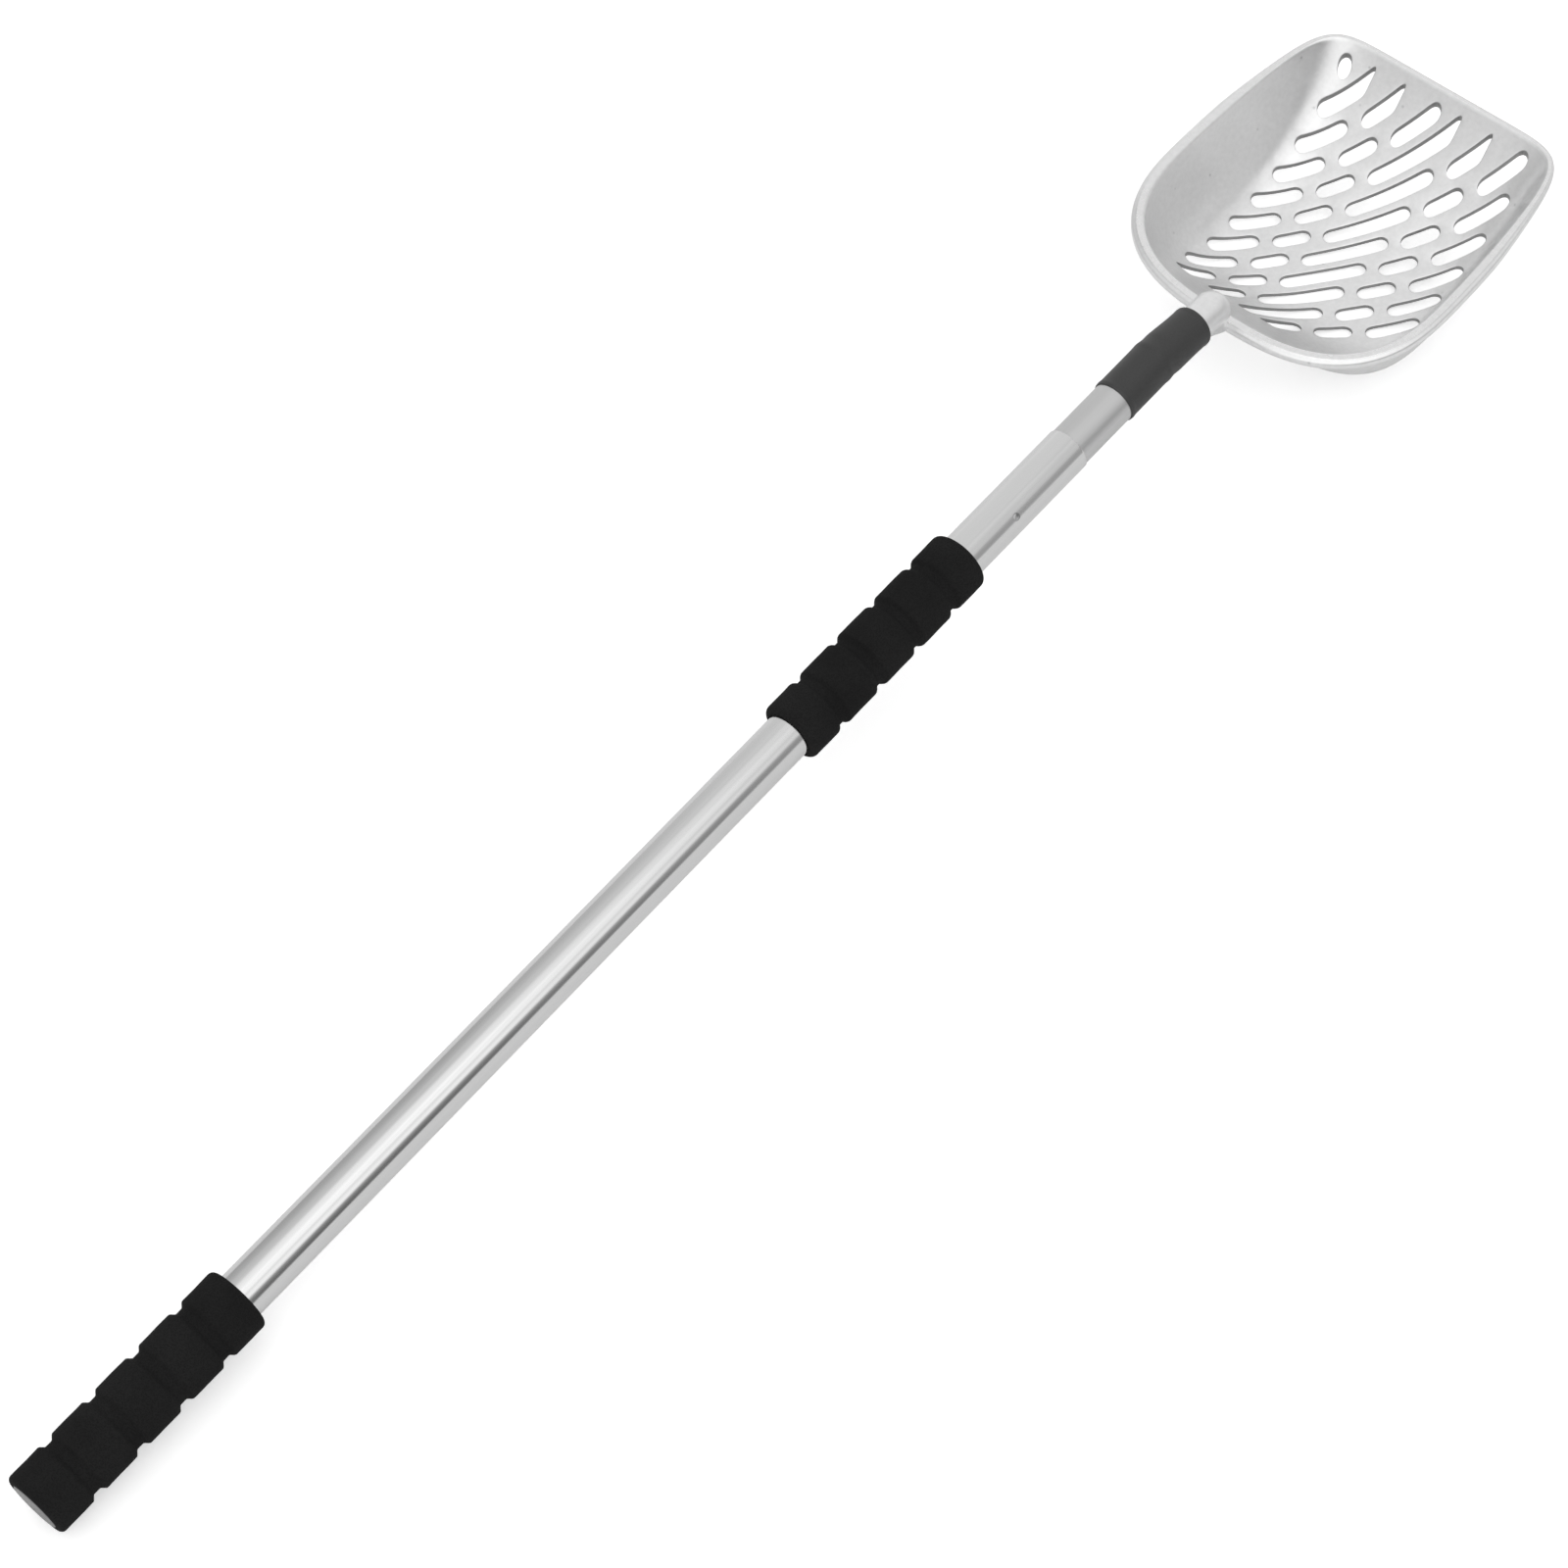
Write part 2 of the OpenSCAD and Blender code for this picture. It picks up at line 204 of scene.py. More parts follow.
def lathe_solid(profile: Array, sides: int) -> tuple[Array, Array, Array]:
    """Turn an open profile about the X axis, and close both ends on the axis.

    Args:
        profile: [x, r] points from one end of the axis to the other, none on the axis.
        sides: Points round the axis.

    Returns:
        The points, the quads and the triangles of the two end fans.
    """
    angle = np.arange(sides) * FULL_TURN / sides
    x = np.repeat(profile[:, :1], sides, 1)
    r = profile[:, 1:]
    body = np.stack([x, r * np.sin(angle), r * np.cos(angle)], -1).reshape(-1, 3)
    tips = np.array([[profile[0, 0], 0, 0], [profile[-1, 0], 0, 0]])
    this = np.arange(sides)
    ahead = (this + 1) % sides
    last = (len(profile) - 1) * sides
    first_fan = np.stack([np.full(sides, len(body)), ahead, this], -1)
    last_fan = np.stack([np.full(sides, len(body) + 1), last + this, last + ahead], -1)
    return np.concatenate([body, tips]), grid_faces(len(profile), sides), np.concatenate([first_fan, last_fan])


# ---- Shader tools ----


class Graph:
    """A thin hand on a node tree."""

    def __init__(self, tree: bpy.types.NodeTree) -> None:
        """Take over a tree and clear it."""
        self.tree = tree
        tree.nodes.clear()

    def add(self, kind: str, inputs: dict | None = None, **settings: object) -> bpy.types.Node:
        """Add a node.

        Args:
            kind: The node's type name without its prefix.
            inputs: Socket name or number to a plain value or to another node's output.
            settings: The node's own properties.

        Returns:
            The node.
        """
        prefix = "" if kind.startswith("NodeGroup") else "ShaderNode"
        node = self.tree.nodes.new(prefix + kind)
        for key, value in settings.items():
            setattr(node, key, value)
        for key, value in (inputs or {}).items():
            if isinstance(value, bpy.types.NodeSocket):
                self.tree.links.new(value, node.inputs[key])
            else:
                node.inputs[key].default_value = value
        return node

    def ramp(self, value: bpy.types.NodeSocket, low: float, high: float, to_low: object = 0.0,
             to_high: object = 1.0) -> bpy.types.NodeSocket:
        """Carry a value from one range to another, held at both ends."""
        node = self.add("MapRange", {"Value": value, "From Min": low, "From Max": high,
                                     "To Min": to_low, "To Max": to_high})
        return node.outputs["Result"]

    def noise(self, vector: bpy.types.NodeSocket, scale: object, detail: float = 2.0,
              roughness: float = 0.5) -> bpy.types.NodeSocket:
        """A noise value between 0 and 1."""
        node = self.add("TexNoise", {"Vector": vector, "Scale": scale, "Detail": detail, "Roughness": roughness})
        return node.outputs["Fac"]

    def math(self, operation: str, a: object, b: object = 0.0) -> bpy.types.NodeSocket:
        """One step of arithmetic."""
        return self.add("Math", {0: a, 1: b}, operation=operation).outputs[0]

    def attribute(self, name: str) -> bpy.types.NodeSocket:
        """A number stored at the mesh's points."""
        return self.add("Attribute", attribute_name=name, attribute_type="GEOMETRY").outputs["Fac"]

    def group(self, tree: bpy.types.NodeTree, where: bpy.types.NodeSocket, **values: float) -> bpy.types.Node:
        """Place a node group, with its own values by input name."""
        return self.add("Group", {"Vector": where, **values}, node_tree=tree)

    def surface(self, tone: bpy.types.NodeSocket, rough: object, height: bpy.types.NodeSocket, strength: float,
                depth: float, **plain: float) -> bpy.types.Node:
        """Add the surface shader with a bump.

        Args:
            tone: Base colour.
            rough: Roughness.
            height: Height of the bump.
            strength: Strength of the bump.
            depth: Depth of the bump in metres.
            plain: Plain values of other sockets, with underscores for spaces.

        Returns:
            The shader.
        """
        bump = self.add("Bump", {"Strength": strength, "Distance": depth, "Height": height})
        others = {key.replace("_", " "): value for key, value in plain.items()}
        return self.add("BsdfPrincipled", {"Base Color": tone, "Roughness": rough,
                                           "Normal": bump.outputs["Normal"], **others})

    def mix(self, share: object, a: object, b: object) -> bpy.types.NodeSocket:
        """Mix two colours by a share."""
        node = self.add("Mix", data_type="RGBA")
        for key, value in ((0, share), (6, a), (7, b)):
            if isinstance(value, bpy.types.NodeSocket):
                self.tree.links.new(value, node.inputs[key])
            else:
                node.inputs[key].default_value = value
        return node.outputs[2]


def new_group(name: str, inputs: dict[str, float],
              outputs: tuple[str, ...]) -> tuple[bpy.types.NodeTree, Graph, bpy.types.Node]:
    """Start a shader node group with a Vector input, number inputs and number outputs.

    Args:
        name: The group's name.
        inputs: Name and first value of each number input.
        outputs: Names of the number outputs.

    Returns:
        The group, its graph and its input node.
    """
    tree = bpy.data.node_groups.new(name, "ShaderNodeTree")
    tree.interface.new_socket("Vector", in_out="INPUT", socket_type="NodeSocketVector")
    for key, value in inputs.items():
        tree.interface.new_socket(key, in_out="INPUT", socket_type="NodeSocketFloat").default_value = value
    for key in outputs:
        tree.interface.new_socket(key, in_out="OUTPUT", socket_type="NodeSocketFloat")
    graph = Graph(tree)
    return tree, graph, graph.add("NodeGroupInput")


def grain_group() -> bpy.types.NodeTree:
    """Fine surface grain: Tone is a noise, and Height is 0.6 of it with 0.4 of one that is Fineness times finer."""
    if "grain" in bpy.data.node_groups:
        return bpy.data.node_groups["grain"]
    tree, g, source = new_group("grain", {"Scale": 500.0, "Fineness": 3.0}, ("Height", "Tone"))
    where, scale, fineness = (source.outputs[key] for key in ("Vector", "Scale", "Fineness"))
    coarse = g.noise(where, scale, 2.0)
    fine = g.noise(where, g.math("MULTIPLY", scale, fineness), 3.0)
    height = g.math("ADD", g.math("MULTIPLY", coarse, 0.6), g.math("MULTIPLY", fine, 0.4))
    g.add("NodeGroupOutput", {"Height": height, "Tone": coarse})
    return tree


def pits_group() -> bpy.types.NodeTree:
    """Sparse round pits: Mask is 1 in the middle of a pit and 0 between pits."""
    if "pits" in bpy.data.node_groups:
        return bpy.data.node_groups["pits"]
    tree, g, source = new_group("pits", {"Scale": 300.0, "Size": 0.18, "Share": 0.2}, ("Mask",))
    cells = g.add("TexVoronoi", {"Vector": source.outputs["Vector"], "Scale": source.outputs["Scale"]})
    drop = g.add("MapRange", {"Value": cells.outputs["Distance"], "From Min": source.outputs["Size"], "From Max": 0.0},
                 interpolation_type="SMOOTHSTEP")
    pick = g.add("SeparateColor", {"Color": cells.outputs["Color"]})
    chosen = g.math("LESS_THAN", pick.outputs[0], source.outputs["Share"])
    g.add("NodeGroupOutput", {"Mask": g.math("MULTIPLY", drop.outputs["Result"], chosen)})
    return tree


def smudge_group() -> bpy.types.NodeTree:
    """Soft handling marks: Value runs from Low to High with a broad noise."""
    if "smudge" in bpy.data.node_groups:
        return bpy.data.node_groups["smudge"]
    tree, g, source = new_group("smudge", {"Scale": 20.0, "Low": 0.2, "High": 0.3}, ("Value",))
    where, scale, low, high = (source.outputs[key] for key in ("Vector", "Scale", "Low", "High"))
    g.add("NodeGroupOutput", {"Value": g.ramp(g.noise(where, scale, 4.0), 0.3, 0.7, low, high)})
    return tree


def grey(level: float) -> tuple[float, float, float, float]:
    """A neutral colour."""
    return (level, level, level, 1.0)


# ---- Finishes ----


@dataclass(frozen=True)
class Finish:
    """A material: its name and the record's slot that it belongs to."""

    name: str
    slot: str

    def material(self) -> bpy.types.Material:
        """Return the finish's material, made the first time that it is asked for."""
        known = bpy.data.materials.get(self.name)
        if known is not None:
            return known
        made = bpy.data.materials.new(self.name)
        made.use_nodes = True
        g = Graph(made.node_tree)
        where = g.add("TexCoord").outputs["Object"]
        shader = self.shade(g, where)
        g.add("OutputMaterial", {"Surface": shader.outputs[0]})
        return made

    def shade(self, g: Graph, where: bpy.types.NodeSocket) -> bpy.types.Node:
        """Build the nodes and return the shader."""
        raise NotImplementedError


@dataclass(frozen=True)
class CastAlloy(Finish):
    """Tumbled cast alloy: satin, faintly mottled, with fine grain and sparse casting pits."""

    level: float = 0.88
    # share of the tone kept on the slots' walls, which are painted darker as painted shade
    slot_wall_shade: float = 0.42
    low_gloss: float = 0.3
    high_gloss: float = 0.42
    metallic: float = 0.88
    grain_tone: float = 0.94
    pit_tone: float = 0.7
    ground_gloss: float = 0.1
    pit_depth: float = 2.0

    def shade(self, g: Graph, where: bpy.types.NodeSocket) -> bpy.types.Node:
        """Mottle, grain and pits on a rough metal; the ground rim is smoother, and painted shade darkens the slots'
        walls.
        """
        grain = g.group(grain_group(), where, Scale=420.0, Fineness=4.0)
        pits = g.group(pits_group(), where, Scale=170.0, Size=0.2, Share=0.1).outputs["Mask"]
        gloss = g.group(smudge_group(), where, Scale=45.0, Low=self.low_gloss, High=self.high_gloss)
        tone = g.mix(g.ramp(grain.outputs["Tone"], 0.3, 0.7), grey(self.level * self.grain_tone), grey(self.level))
        tone = g.mix(pits, tone, grey(self.level * self.pit_tone))
        # painted shade: the colour darkens on the slots' walls, where the cut attribute marks them, standing in for
        # the shade that falls in the slots
        tone = g.mix(g.attribute("cut"), tone, grey(self.level * self.slot_wall_shade))
        smoother = g.math("MULTIPLY", g.attribute("ground"), self.ground_gloss)
        rough = g.math("SUBTRACT", gloss.outputs["Value"], smoother)
        height = g.math("SUBTRACT", grain.outputs["Height"], g.math("MULTIPLY", pits, self.pit_depth))
        return g.surface(tone, rough, height, 0.35, 0.00008, Metallic=self.metallic)


@dataclass(frozen=True)
class DrawnTube(Finish):
    """Drawn alloy tube with faint lines along it, from polished to satin."""

    level: float = 0.72
    low_gloss: float = 0.1
    high_gloss: float = 0.16
    line_depth: float = 0.000004
    stretch: tuple[float, float, float] = (8.0, 900.0, 900.0)

    def shade(self, g: Graph, where: bpy.types.NodeSocket) -> bpy.types.Node:
        """Drawing lines stretched along X, and soft handling marks in the gloss."""
        along = g.add("Mapping", {"Vector": where, "Scale": self.stretch}).outputs[0]
        lines = g.noise(along, 1.0, 3.0, 0.6)
        gloss = g.group(smudge_group(), where, Scale=30.0, Low=self.low_gloss, High=self.high_gloss)
        tone = g.mix(g.ramp(lines, 0.3, 0.7), grey(self.level * 0.97), grey(self.level))
        return g.surface(tone, gloss.outputs["Value"], lines, 0.5, self.line_depth, Metallic=1.0)


@dataclass(frozen=True)
class Foam(Finish):
    """Closed-cell foam: matt, with fine open cells in its skin."""

    level: float = 0.016

    def shade(self, g: Graph, where: bpy.types.NodeSocket) -> bpy.types.Node:
        """Cells from a fine cell pattern, with a slow change of tone."""
        cells = g.add("TexVoronoi", {"Vector": where, "Scale": 1500.0})
        grain = g.group(grain_group(), where, Scale=700.0, Fineness=3.0)
        slow = g.noise(where, 40.0, 3.0)
        tone = g.mix(g.ramp(slow, 0.3, 0.7), grey(self.level * 0.85), grey(self.level * 1.2))
        tone = g.mix(g.ramp(cells.outputs["Distance"], 0.0, 0.6), grey(self.level * 0.5), tone)
        height = g.math("ADD", cells.outputs["Distance"], grain.outputs["Height"])
        return g.surface(tone, 0.95, height, 0.7, 0.00018, Specular_IOR_Level=0.08)


@dataclass(frozen=True)
class Moulded(Finish):
    """Moulded plastic or rubber with a fine spark grain."""

    level: float = 0.2
    rough: float = 0.45
    depth: float = 0.00003
    grain_scale: float = 1200.0

    def shade(self, g: Graph, where: bpy.types.NodeSocket) -> bpy.types.Node:
        """Fine grain in height and gloss, with a slow change of tone."""
        grain = g.group(grain_group(), where, Scale=self.grain_scale, Fineness=3.0)
        gloss = g.group(smudge_group(), where, Scale=60.0, Low=self.rough - 0.05, High=self.rough + 0.06)
        tone = g.mix(g.ramp(grain.outputs["Tone"], 0.3, 0.7), grey(self.level * 0.9), grey(self.level * 1.08))
        return g.surface(tone, gloss.outputs["Value"], grain.outputs["Height"], 0.5, self.depth)


CAST = CastAlloy("cast_alloy_tumbled", "cast_alloy")
POLISHED = DrawnTube("tube_polished", "polished_tube")
SATIN = DrawnTube("tube_satin", "satin_tube", level=0.62, low_gloss=0.34, high_gloss=0.4, line_depth=0.00001)
STEEL = DrawnTube("steel_turned", "steel_hardware", level=0.6, low_gloss=0.22, high_gloss=0.3)
FOAM = Foam("grip_foam_black", "grip_foam")
SLEEVE = Moulded("sleeve_rubber_black", "sleeve_rubber", level=0.036, rough=0.5)
GREY_CAP = Moulded("cap_plastic_grey", "grey_plastic", level=0.22, rough=0.42)
DARK_PLUG = Moulded("plug_plastic_dark", "dark_plastic", level=0.06, rough=0.45)
WHITE_WEDGE = Moulded("wedge_plastic_white", "white_plastic", level=0.75, rough=0.4)


# ---- Dish ----


@dataclass
class Slot:
    """One sieve slot in plan: a slanting bar with round ends, clipped to low_x, high_x and low_y."""

    x: float
    y: float
    back_reach: float
    front_reach: float
    width: float
    angle: float
    low_x: float
    high_x: float
    low_y: float = -math.inf
    spacing: float = 1.1
    soften: int = 2

    def outline(self) -> Array:
        """The slot's edge as a closed loop of evenly spaced points, counterclockwise."""
        forward = np.array([math.cos(self.angle), math.sin(self.angle)])
        side = np.array([-forward[1], forward[0]])
        turn = np.linspace(-math.pi / 2, math.pi / 2, 40)[:, None]
        cap = np.cos(turn) * forward + np.sin(turn) * side
        middle = np.array([self.x, self.y])
        front = middle + forward * self.front_reach + cap * self.width / 2
        back = middle - forward * self.back_reach - cap * self.width / 2
        loop = self.clip(self.clip(np.concatenate([front, back]), self.high_x, 1), self.low_x, -1)
        return self.even(self.clip(loop, self.low_y, -1, 1))

    @staticmethod
    def clip(loop: Array, limit: float, sign: int, axis: int = 0) -> Array:
        """Keep the part of a convex loop with sign * p <= sign * limit on one axis.

        Args:
            loop: The loop's points in plan.
            limit: Place of the cut.
            sign: 1 keeps what is under the limit, -1 what is over it.
            axis: 0 for a limit on x, 1 for y.

        Returns:
            The loop, with the cut's two ends added.
        """
        inside = sign * loop[:, axis] <= sign * limit
        if inside.all():
            return loop
        ahead = np.roll(loop, -1, 0)
        crossing = inside != np.roll(inside, -1)
        share = (limit - loop[:, axis]) / np.where(crossing, ahead[:, axis] - loop[:, axis], 1.0)
        cuts = loop + (ahead - loop) * share[:, None]
        first = int(np.flatnonzero(crossing & ~inside)[0])
        order = np.roll(np.arange(len(loop)), -first)
        kept = order[inside[order]]
        last = kept[-1]
        return np.concatenate([cuts[first:first + 1], loop[kept], cuts[last:last + 1]])

    def even(self, loop: Array) -> Array:
        """Space a loop's points evenly and ease its corners with a short running mean."""
        closed = np.concatenate([loop, loop[:1]])
        length = np.concatenate([[0], np.cumsum(np.linalg.norm(np.diff(closed, axis=0), axis=1))])
        count = max(int(length[-1] / self.spacing), 24)
        at = np.arange(count) * length[-1] / count
        even = np.stack([np.interp(at, length, closed[:, k]) for k in range(2)], -1)
        for _ in range(self.soften):
            even = (np.roll(even, 1, 0) + 2 * even + np.roll(even, -1, 0)) / 4
        return even


def spread(loop: Array, amount: float) -> Array:
    """Move a counterclockwise loop outwards by an amount, square to itself."""
    along = np.roll(loop, -1, 0) - np.roll(loop, 1, 0)
    along /= np.linalg.norm(along, axis=1)[:, None]
    return loop + np.stack([along[:, 1], -along[:, 0]], -1) * amount


@dataclass
class Dish:
    """The sieve dish: a thin shell with a broad rim, whose floor is open in five columns of slots."""

    at: float = field(init=False)
    drop: float = 16.6
    tilt: float = math.radians(2)
    length: float = 180.0
    half: float = 81.6
    widest: float = 75.0
    depth: float = 50.0
    wall: float = 2.4
    taper: float = 0.1
    rim: float = 6.3
    rim_height: float = 5.0
    lip: float = 3.0
    back_power: float = 2.75
    front_power: float = 10.0
    back_curve: float = 2.15
    front_curve: float = 2.9
    side_curve: float = 8.0
    slot_width: float = 7.4
    slot_pitch: float = 17.1
    slot_angle: float = math.radians(-40)
    first_lane: float = 222.0
    plain_back: float = 37.0
    plain_lip: float = 6.5
    front_draw: float = 8.0
    slant_back: float = -2.3
    round_short: float = 0.0
    columns: tuple[tuple[float, float], ...] = ((-45.5, 26.0), (-25.5, 19.0), (0.0, 42.5), (25.5, 19.0), (45.5, 26.0))
    hole_back: float = 5.5
    hole_aside: float = 6.8
    hole_reach: float = 1.0
    hole_width: float = 6.6
    hole_angle: float = math.radians(26)
    floor_in: tuple[float, float] = (0.86, 0.982)
    floor_out: tuple[float, float] = (0.84, 0.96)
    wall_margin: float = 1.6
    outer_end: float = 0.965
    knee_share: float = 0.985
    bend_rows: int = 6
    rim_top: tuple[tuple[float, float], ...] = (
        (0.26, 0.0), (0.42, 0.0), (0.585, 0.0), (0.625, 0.012), (0.645, 0.045), (0.67, 0.075), (0.8, 0.12),
        (0.9, 0.19), (0.965, 0.31), (1.0, 0.5), (1.0, 0.7), (0.975, 0.86), (0.91, 0.96), (0.78, 1.0))
    around: int = 480
    wall_rows: int = 20
    mesh_step: float = 2.2
    edge_round: float = 0.5
    under_round: float = 0.5
    turns: Array = field(init=False)

    def __post_init__(self) -> None:
        """Find the dish's place from the head's front end, and spread the outline's turns evenly."""
        self.at = box_mm("scoop_head")[1][0] - self.length * math.cos(self.tilt)
        fine = np.linspace(0, FULL_TURN, 7201)
        x, y = self.plan(1.0, fine)
        length = np.concatenate([[0], np.cumsum(np.hypot(np.diff(x), np.diff(y)))])
        self.turns = np.interp(np.arange(self.around) * length[-1] / self.around, length, fine)

    def power(self, ahead: Array) -> Array:
        """The outline's power, by the side of the widest place."""
        return np.where(ahead > 0, self.front_power, self.back_power)

    def reach(self, ahead: Array) -> Array:
        """The outline's reach from the widest place, by side."""
        return np.where(ahead > 0, self.length - self.widest - self.lip, self.widest - self.rim)

    def plan(self, share: Array | float, turn: Array) -> tuple[Array, Array]:
        """Point in plan at a share of the way from the middle to the inner outline.

        m = (|cos|^n + |sin|^n)^(-1/n), x = widest + share m cos reach, y = share m sin half (1 - taper s^2).
        """
        c, s = np.cos(turn), np.sin(turn)
        n = self.power(c)
        m = (np.abs(c) ** n + np.abs(s) ** n) ** (-1 / n)
        along = share * m * c
        narrow = 1 - self.taper * np.maximum(along, 0) ** 2
        return self.widest + along * self.reach(c), share * m * s * (self.half - self.rim) * narrow

    def skin(self, x: Array, y: Array) -> Array:
        """Height of the inner skin: -depth (1 - |s|^curve) (1 - (|y| / half there)^side)."""
        c = x - self.widest
        s = np.minimum(np.abs(c) / self.reach(c), 1)
        n = self.power(c)
        narrow = np.where(c > 0, 1 - self.taper * s * s, 1)
        half = np.maximum((self.half - self.rim) * narrow * (1 - s**n) ** (1 / n), 0.01)
        rise = s ** np.where(c > 0, self.front_curve, self.back_curve)
        side = np.minimum((np.abs(y) / half) ** self.side_curve, 1)
        return -self.depth * (1 - rise) * (1 - side)

    def slope(self, x: Array, y: Array) -> tuple[Array, Array]:
        """The inner skin's slopes, by a central difference."""
        step = 0.2
        gx = (self.skin(x + step, y) - self.skin(x - step, y)) / (2 * step)
        gy = (self.skin(x, y + step) - self.skin(x, y - step)) / (2 * step)
        return gx, gy

    def inner(self, x: Array, y: Array) -> Array:
        """Points of the inner skin over plan points."""
        return np.stack([x, y, self.skin(x, y)], -1)

    def outer(self, x: Array, y: Array) -> Array:
        """Points one wall outside the inner skin, square to it."""
        gx, gy = self.slope(x, y)
        k = self.wall / np.sqrt(1 + gx * gx + gy * gy)
        return np.stack([x + gx * k, y + gy * k, self.skin(x, y) - k], -1)

    def under(self, x: Array, y: Array) -> tuple[Array, Array]:
        """Plan point of the inner skin whose outer point lies over [x, y], found by small steps."""
        u, v = x.copy(), y.copy()
        for _ in range(40):
            out = self.outer(u, v)
            u, v = u - 0.6 * (out[:, 0] - x), v - 0.6 * (out[:, 1] - y)
        return u, v

    def fullness(self, turn: Array) -> Array:
        """1 where the rim is at its full width, 0 at the front lip."""
        return 1 - smoothstep((np.cos(turn) - 0.25) / 0.55)

    def rim_row(self, out: float, down: float) -> Array:
        """A row of points round the rim.

        Args:
            out: Distance out from the outline, as a share of the rim's width there.
            down: Depth under the rim plane, as a share of the rim's height there.

        Returns:
            One point for each turn.
        """
        full = self.fullness(self.turns)
        width = self.lip + (self.rim - self.lip) * full
        height = self.lip + (self.rim_height - self.lip) * full
        x, y = self.plan(1.0, self.turns)
        step = math.radians(1)
        ax, ay = self.plan(1.0, self.turns - step)
        bx, by = self.plan(1.0, self.turns + step)
        size = np.hypot(bx - ax, by - ay)
        far = width * out
        return np.stack([x + (by - ay) / size * far, y - (bx - ax) / size * far, -height * down], -1)

    def row(self, share: Array | float, outside: bool = False) -> Array:
        """A row of skin points at a share of the outline."""
        x, y = self.plan(share, self.turns)
        return self.outer(x, y) if outside else self.inner(x, y)

    @staticmethod
    def bend(a: Array, b: Array, c: Array, steps: int) -> list[Array]:
        """Rows of the curve (1-t)^2 a + 2 t (1-t) b + t^2 c, without its two end rows."""
        inner = np.linspace(0, 1, steps + 2)[1:-1]
        return [(1 - t) ** 2 * a + 2 * t * (1 - t) * b + t * t * c for t in inner]

    def even_shares(self, low: Array, high: Array, margin: float, count: int, outside: bool) -> Array:
        """Shares that space the rows of a wall evenly along it, one row of shares for each turn.

        Args:
            low: First share for each turn.
            high: Last share for each turn.
            margin: Millimetres of wall left above the last row.
            count: Number of rows.
            outside: Whether the outer skin is followed.

        Returns:
            Shares, count rows by one column a turn.
        """
        t = np.linspace(0, 1, 160)[:, None]
        share = low + (high - low) * t
        x, y = self.plan(share, self.turns[None, :])
        points = (self.outer if outside else self.inner)(x, y)
        length = np.concatenate([np.zeros((1, self.around)),
                                 np.cumsum(np.linalg.norm(np.diff(points, axis=0), axis=2), 0)])
        goal = np.linspace(0, 1, count)[:, None] * np.maximum(length[-1] - margin, 0.3)
        return np.stack([np.interp(goal[:, k], length[:, k], share[:, k]) for k in range(self.around)], 1)

    def floor_share(self, ends: tuple[float, float]) -> Array:
        """Share of the outline where the slotted floor stops, for each turn, from shares at the side and front."""
        side, front = ends
        return side + (front - side) * smoothstep((np.cos(self.turns) - 0.3) / 0.4)

    def slots(self) -> list[Slot]:
        """Every slot of the five columns, and the lone oval hole in the left front corner."""
        front = self.length - self.plain_lip
        made = []
        for lane in range(1, 12):
            for y, total in self.columns:
                x = self.first_lane - self.slot_pitch * lane - y
                if not self.plain_back - 4 < x < front + 3:
                    continue
                half = (total - self.slot_width) / 2
                room = (front - self.slot_width / 2 - x) / math.cos(self.slot_angle)
                slanting = lane % 3 > 0 and room < half + self.front_draw
                ahead = half + (self.front_draw if slanting else 0)
                if lane % 3 == 0:
                    ahead = min(half, room - self.round_short)
                low_y = y + half * math.sin(self.slot_angle) + self.slant_back if slanting else -math.inf
                made.append(Slot(x, y, half, ahead, self.slot_width, self.slot_angle,
                                 self.plain_back, front, low_y))
        made.append(Slot(front - self.hole_back, self.columns[-1][0] + self.hole_aside, self.hole_reach,
                         self.hole_reach, self.hole_width, self.hole_angle, 0, self.length))
        return made

    def skin_mesh(self, edge: Array, loops: list[Array], outside: bool) -> tuple[Array, Array]:
        """Triangles of the floor between its edge row and the slots' loops, in plan.

        Args:
            edge: Plan points of the floor's edge row.
            loops: Plan loops of the slots.
            outside: Whether the wider margin of the outer skin is used.

        Returns:
            The plan points, edge and loops first, and the triangles.
        """
        shares = self.floor_share(self.floor_out if outside else self.floor_in)
        rings = int(75 / self.mesh_step)
        inside = []
        for k in range(1, rings):
            count = max(int(FULL_TURN * 66 * k / rings / self.mesh_step), 6)
            turn = (np.arange(count) + 0.5 * (k % 2)) * FULL_TURN / count
            limit = np.interp(turn, np.append(self.turns, FULL_TURN), np.append(shares, shares[0]))
            inside.append(np.stack(self.plan(limit * (1 - (1 - k / rings) ** 1.15), turn), -1))
        inner = np.concatenate(inside)
        bars = np.concatenate(loops)
        keep = np.ones(len(inner), bool)
        for first in range(0, len(inner), 1000):
            part = inner[first:first + 1000]
            gap = np.linalg.norm(part[:, None] - bars[None], axis=2)
            nearest = gap.argmin(1)
            keep[first:first + 1000] = gap[np.arange(len(part)), nearest] > 0.6 * self.mesh_step
        for loop in loops:
            keep &= ~self.within(loop, inner)
        fixed = np.concatenate([edge, bars])
        starts = np.cumsum([0, len(edge)] + [len(loop) for loop in loops])
        rims = [np.stack([np.arange(a, b), np.roll(np.arange(a, b), -1)], -1) for a, b in zip(starts[:-1], starts[1:])]
        plan = np.concatenate([fixed, inner[keep]])
        found = delaunay_2d_cdt([Vector(p) for p in plan.tolist()], np.concatenate(rims).tolist(), [], 1, 1e-7)
        source = np.array([origin[0] for origin in found[3]])
        tris = source[np.array(found[2])]
        owner = np.searchsorted(starts, tris, side="right") - 1
        owner[tris >= len(fixed)] = -1
        hole = (owner[:, 0] > 0) & (owner == owner[:, :1]).all(1)
        return plan, tris[~hole]

